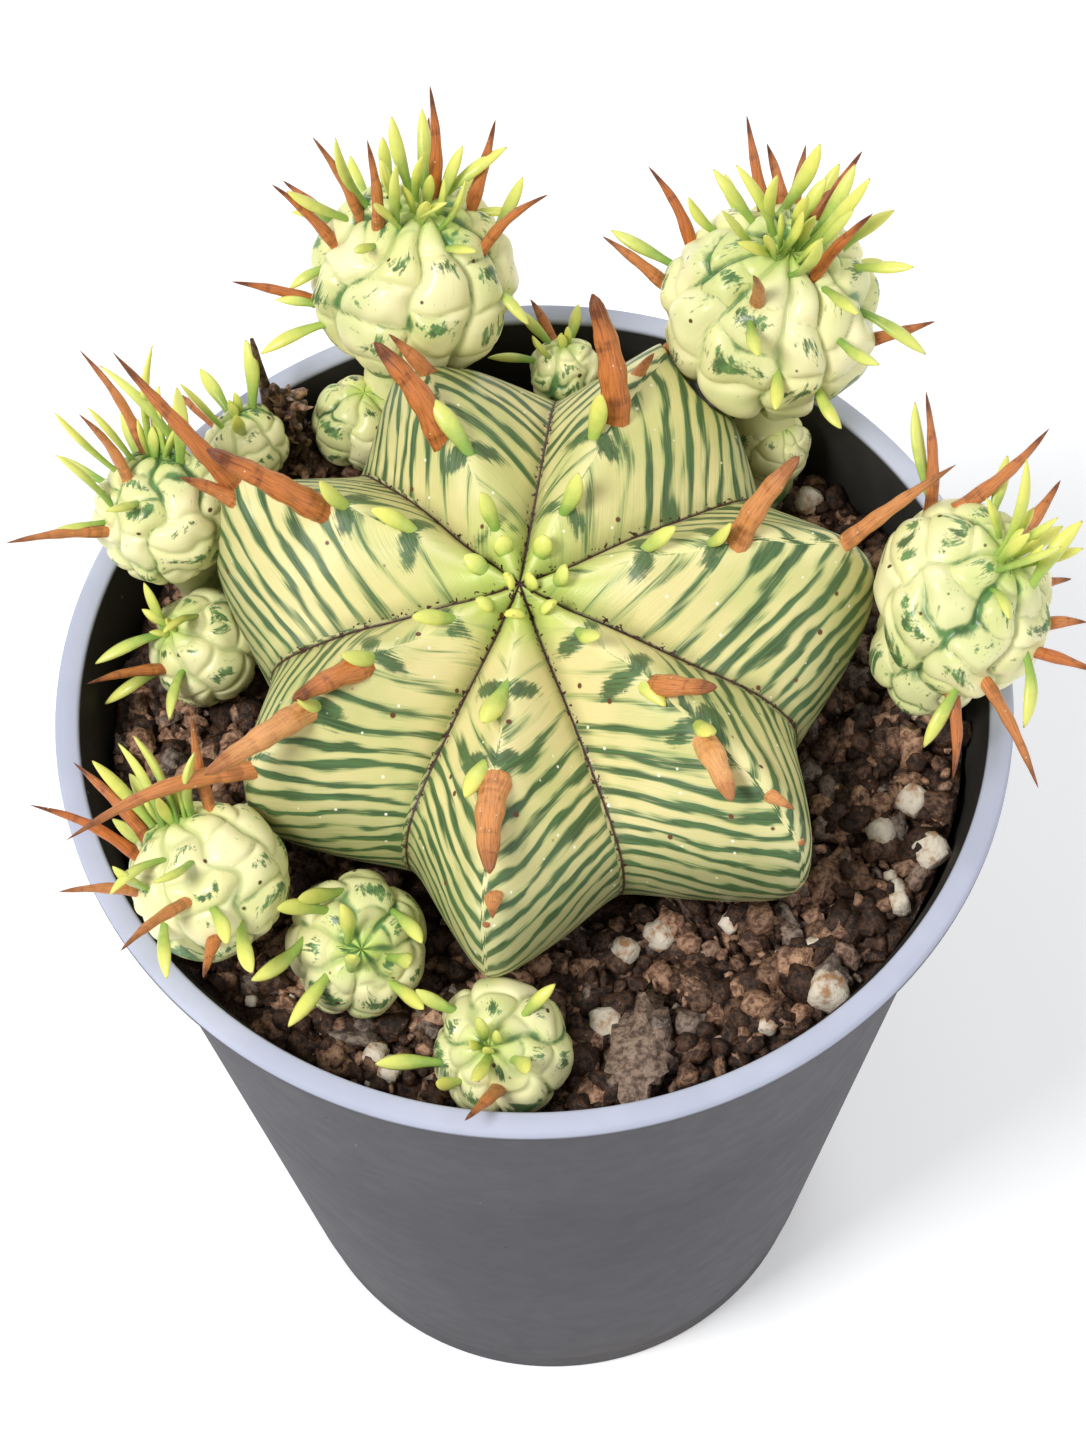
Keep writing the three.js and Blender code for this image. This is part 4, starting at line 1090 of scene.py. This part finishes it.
def lump(size, detail, uneven=0.3):
    """An uneven block: a rounded cube with split faces, its points moved, turned at random."""
    last = 1 + detail
    axis = np.linspace(-1, 1, last + 1)
    points, index, faces = [], {}, []

    def at(i, j, k):
        key = (i, j, k)
        if key not in index:
            p = axis[list(key)]
            points.append(p / (np.linalg.norm(p) ** 0.6))
            index[key] = len(points) - 1
        return index[key]

    for i in range(last):
        for j in range(last):
            m, n = i + 1, j + 1
            there = (i, j), (i, n), (m, n), (m, j)
            back = (i, j), (m, j), (m, n), (i, n)
            for side, level, quad in (
                    (2, 0, there), (2, last, back), (1, 0, back), (1, last, there),
                    (0, 0, there), (0, last, back)):
                faces.append(tuple(at(*c[:side], level, *c[side:]) for c in quad))
    p = np.array(points) * (1 + rng.uniform(-uneven, uneven * 0.8, (len(points), 1)))
    turn = np.linalg.qr(rng.normal(size=(3, 3)))[0]
    if np.linalg.det(turn) < 0:
        turn[:, 0] *= -1
    return (p * np.asarray(size)) @ turn.T, faces


def scatter(count, band):
    """Even random places on the mix between the two radii of a band."""
    inner, outer = band
    r = np.sqrt(rng.uniform(inner ** 2, outer ** 2, count))
    a = rng.uniform(0, 2 * math.pi, count)
    return r * np.cos(a), r * np.sin(a)


def crumbs(material):
    bits = Bundle()
    x, y = scatter(CRUMBS, CRUMB_BAND)
    for px, py, pz in zip(x, y, mix_height(x, y)):
        size = 0.8 + 1.7 * rng.random() ** 2
        block, faces = lump(size * rng.uniform(0.35, 1.35, 3), 1)
        place = (px, py, pz + rng.uniform(-0.3, 0.9))
        bits.add(block + place, faces, tone=rng.random() ** 1.7)
    bits.piece("mix_crumbs", material, "bark_mix")


def chips(material):
    bits = Bundle()
    for px, py in zip(*scatter(CHIPS, CHIP_BAND)):
        block, faces = lump(rng.uniform(0.7, 1.3, 3) * (3.2, 2.2, 1.4), 2)
        place = (px, py, mix_height(px, py) + 0.8)
        bits.add(block + place, faces, tone=rng.uniform(0.3, 1))
    x, y, turn = LARGE_CHIP
    block, faces = lump((1, 1, 1), 5)
    axes = direction(turn, 90), direction(turn + 90, 90), (0, 0, 1)
    block = block * LARGE_CHIP_SIZE @ np.array(axes)
    bits.add(block + (x, y, mix_height(x, y) + 2), faces, tone=0.9)
    bits.piece("mix_chips", material, "bark_mix")


def splinters(material):
    """Fibres and one spike that stand out of the heap, inside the pot and clear of the heads."""
    bits = Bundle()
    for _ in range(SPLINTERS):
        root = np.array([-37 + rng.normal(0, 4), 49.5 + rng.normal(0, 3), 0])
        high = mound(root[0], root[1], SPLINTER_HEAP)
        root[2] = open_mix(root[0], root[1]) + rng.uniform(-0.1, 1) * high
        aim = direction(rng.uniform(0, 360), rng.uniform(30, 85))
        line = root + np.outer(np.linspace(-0.5, 0.5, 7), aim * rng.uniform(5, 12))
        line += rng.normal(0, 0.35, (7, 3))
        line[:, :2] *= np.minimum(1, SPLINTER_REACH / np.hypot(*line[:, :2].T))[:, None]
        wide = rng.uniform(0.5, 1.1) * np.array([0.25, 0.8, 1, 0.9, 1, 0.7, 0.2])
        gaps = [np.linalg.norm(line - g[:3], axis=1).min() - g[3] for g in globes()]
        if min(gaps) < SPLINTER_GAP:
            continue
        swept(bits, line, wide, wide * 0.7, sides_of(aim, (0, 0.1, 1))[0], rng.random())
    v = np.linspace(0, 1, 12)
    spike = SPIKE_FOOT + np.outer(v * SPIKE_LENGTH, direction(135, 7))
    wide = 1.7 * (1 - 0.85 * v) + 0.15 * rng.random(12)
    swept(bits, spike, wide, wide * 0.8, np.array([1.0, 0, 0]), 0.35)
    bits.piece("mix_splinters", material, "bark_mix")


def grains(material):
    """The large perlite grains at their places, and small ones anywhere."""
    bits = Bundle()
    places = zip(*scatter(SMALL_GRAINS, GRAIN_BAND))
    for px, py, size in GRAINS + [(px, py, rng.uniform(0.6, 1.3)) for px, py in places]:
        block, faces = lump(size * rng.uniform(0.8, 1.1, 3), 3, 0.1)
        bits.add(block + (px, py, mix_height(px, py) + size * 0.6), faces)
    bits.piece("mix_perlite", material, "bark_mix")


# Stage.


def light(name, place, target, size, power):
    data = bpy.data.lights.new(name, "AREA")
    data.size = size
    data.energy = power
    aim = (Vector(target) - Vector(place)).to_track_quat("-Z", "Y")
    placed(name, data).matrix_world = Matrix.Translation(place) @ aim.to_matrix().to_4x4()


def stage():
    """White floor that gives off a little light, a pale sky and three lamps."""
    mesh = bpy.data.meshes.new("floor")
    mesh.from_pydata([(-3, -3, 0), (3, -3, 0), (3, 3, 0), (-3, 3, 0)], [], [(0, 1, 2, 3)])
    s = Shader("floor_paper", 0.9)
    s.constants({"Emission Color": (1, 1, 1, 1), "Emission Strength": 0.2})
    mesh.materials.append(s.paint(s.mix(s.noise(3), "#FAFAFA", "#FDFDFD")))
    placed("floor", mesh)
    world = bpy.data.worlds.new("studio")
    world.use_nodes = True
    background = world.node_tree.nodes["Background"]
    background.inputs["Color"].default_value = (0.95, 0.97, 1, 1)
    background.inputs["Strength"].default_value = 0.46
    bpy.context.scene.world = world
    light("key", (-0.5, -0.35, 1.0), (0, 0, 0.15), 0.3, 8.6)
    light("fill", (0.8, -0.3, 0.6), (0, 0, 0.12), 0.8, 2.2)
    light("rear", (0.1, 0.9, 0.8), (0, 0, 0.16), 0.6, 3)
    bpy.context.scene.view_settings.view_transform = "Standard"


def build():
    make_camera()
    flesh, quilt = main_flesh(), offset_flesh()
    leaf, wood = leaf_skin(), stalk_wood()
    soil, grain = bark(), perlite()
    pot(pot_plastic())
    mix_bed(soil)
    crumbs(soil)
    chips(soil)
    splinters(soil)
    grains(grain)
    main_skin(flesh)
    main_repeats(leaf, wood)
    for name, offset in OFFSETS.items():
        offset_skin(name, offset, quilt)
        offset_stem(name, offset, quilt)
        offset_repeats(name, offset, leaf, wood)
    stage()


build()
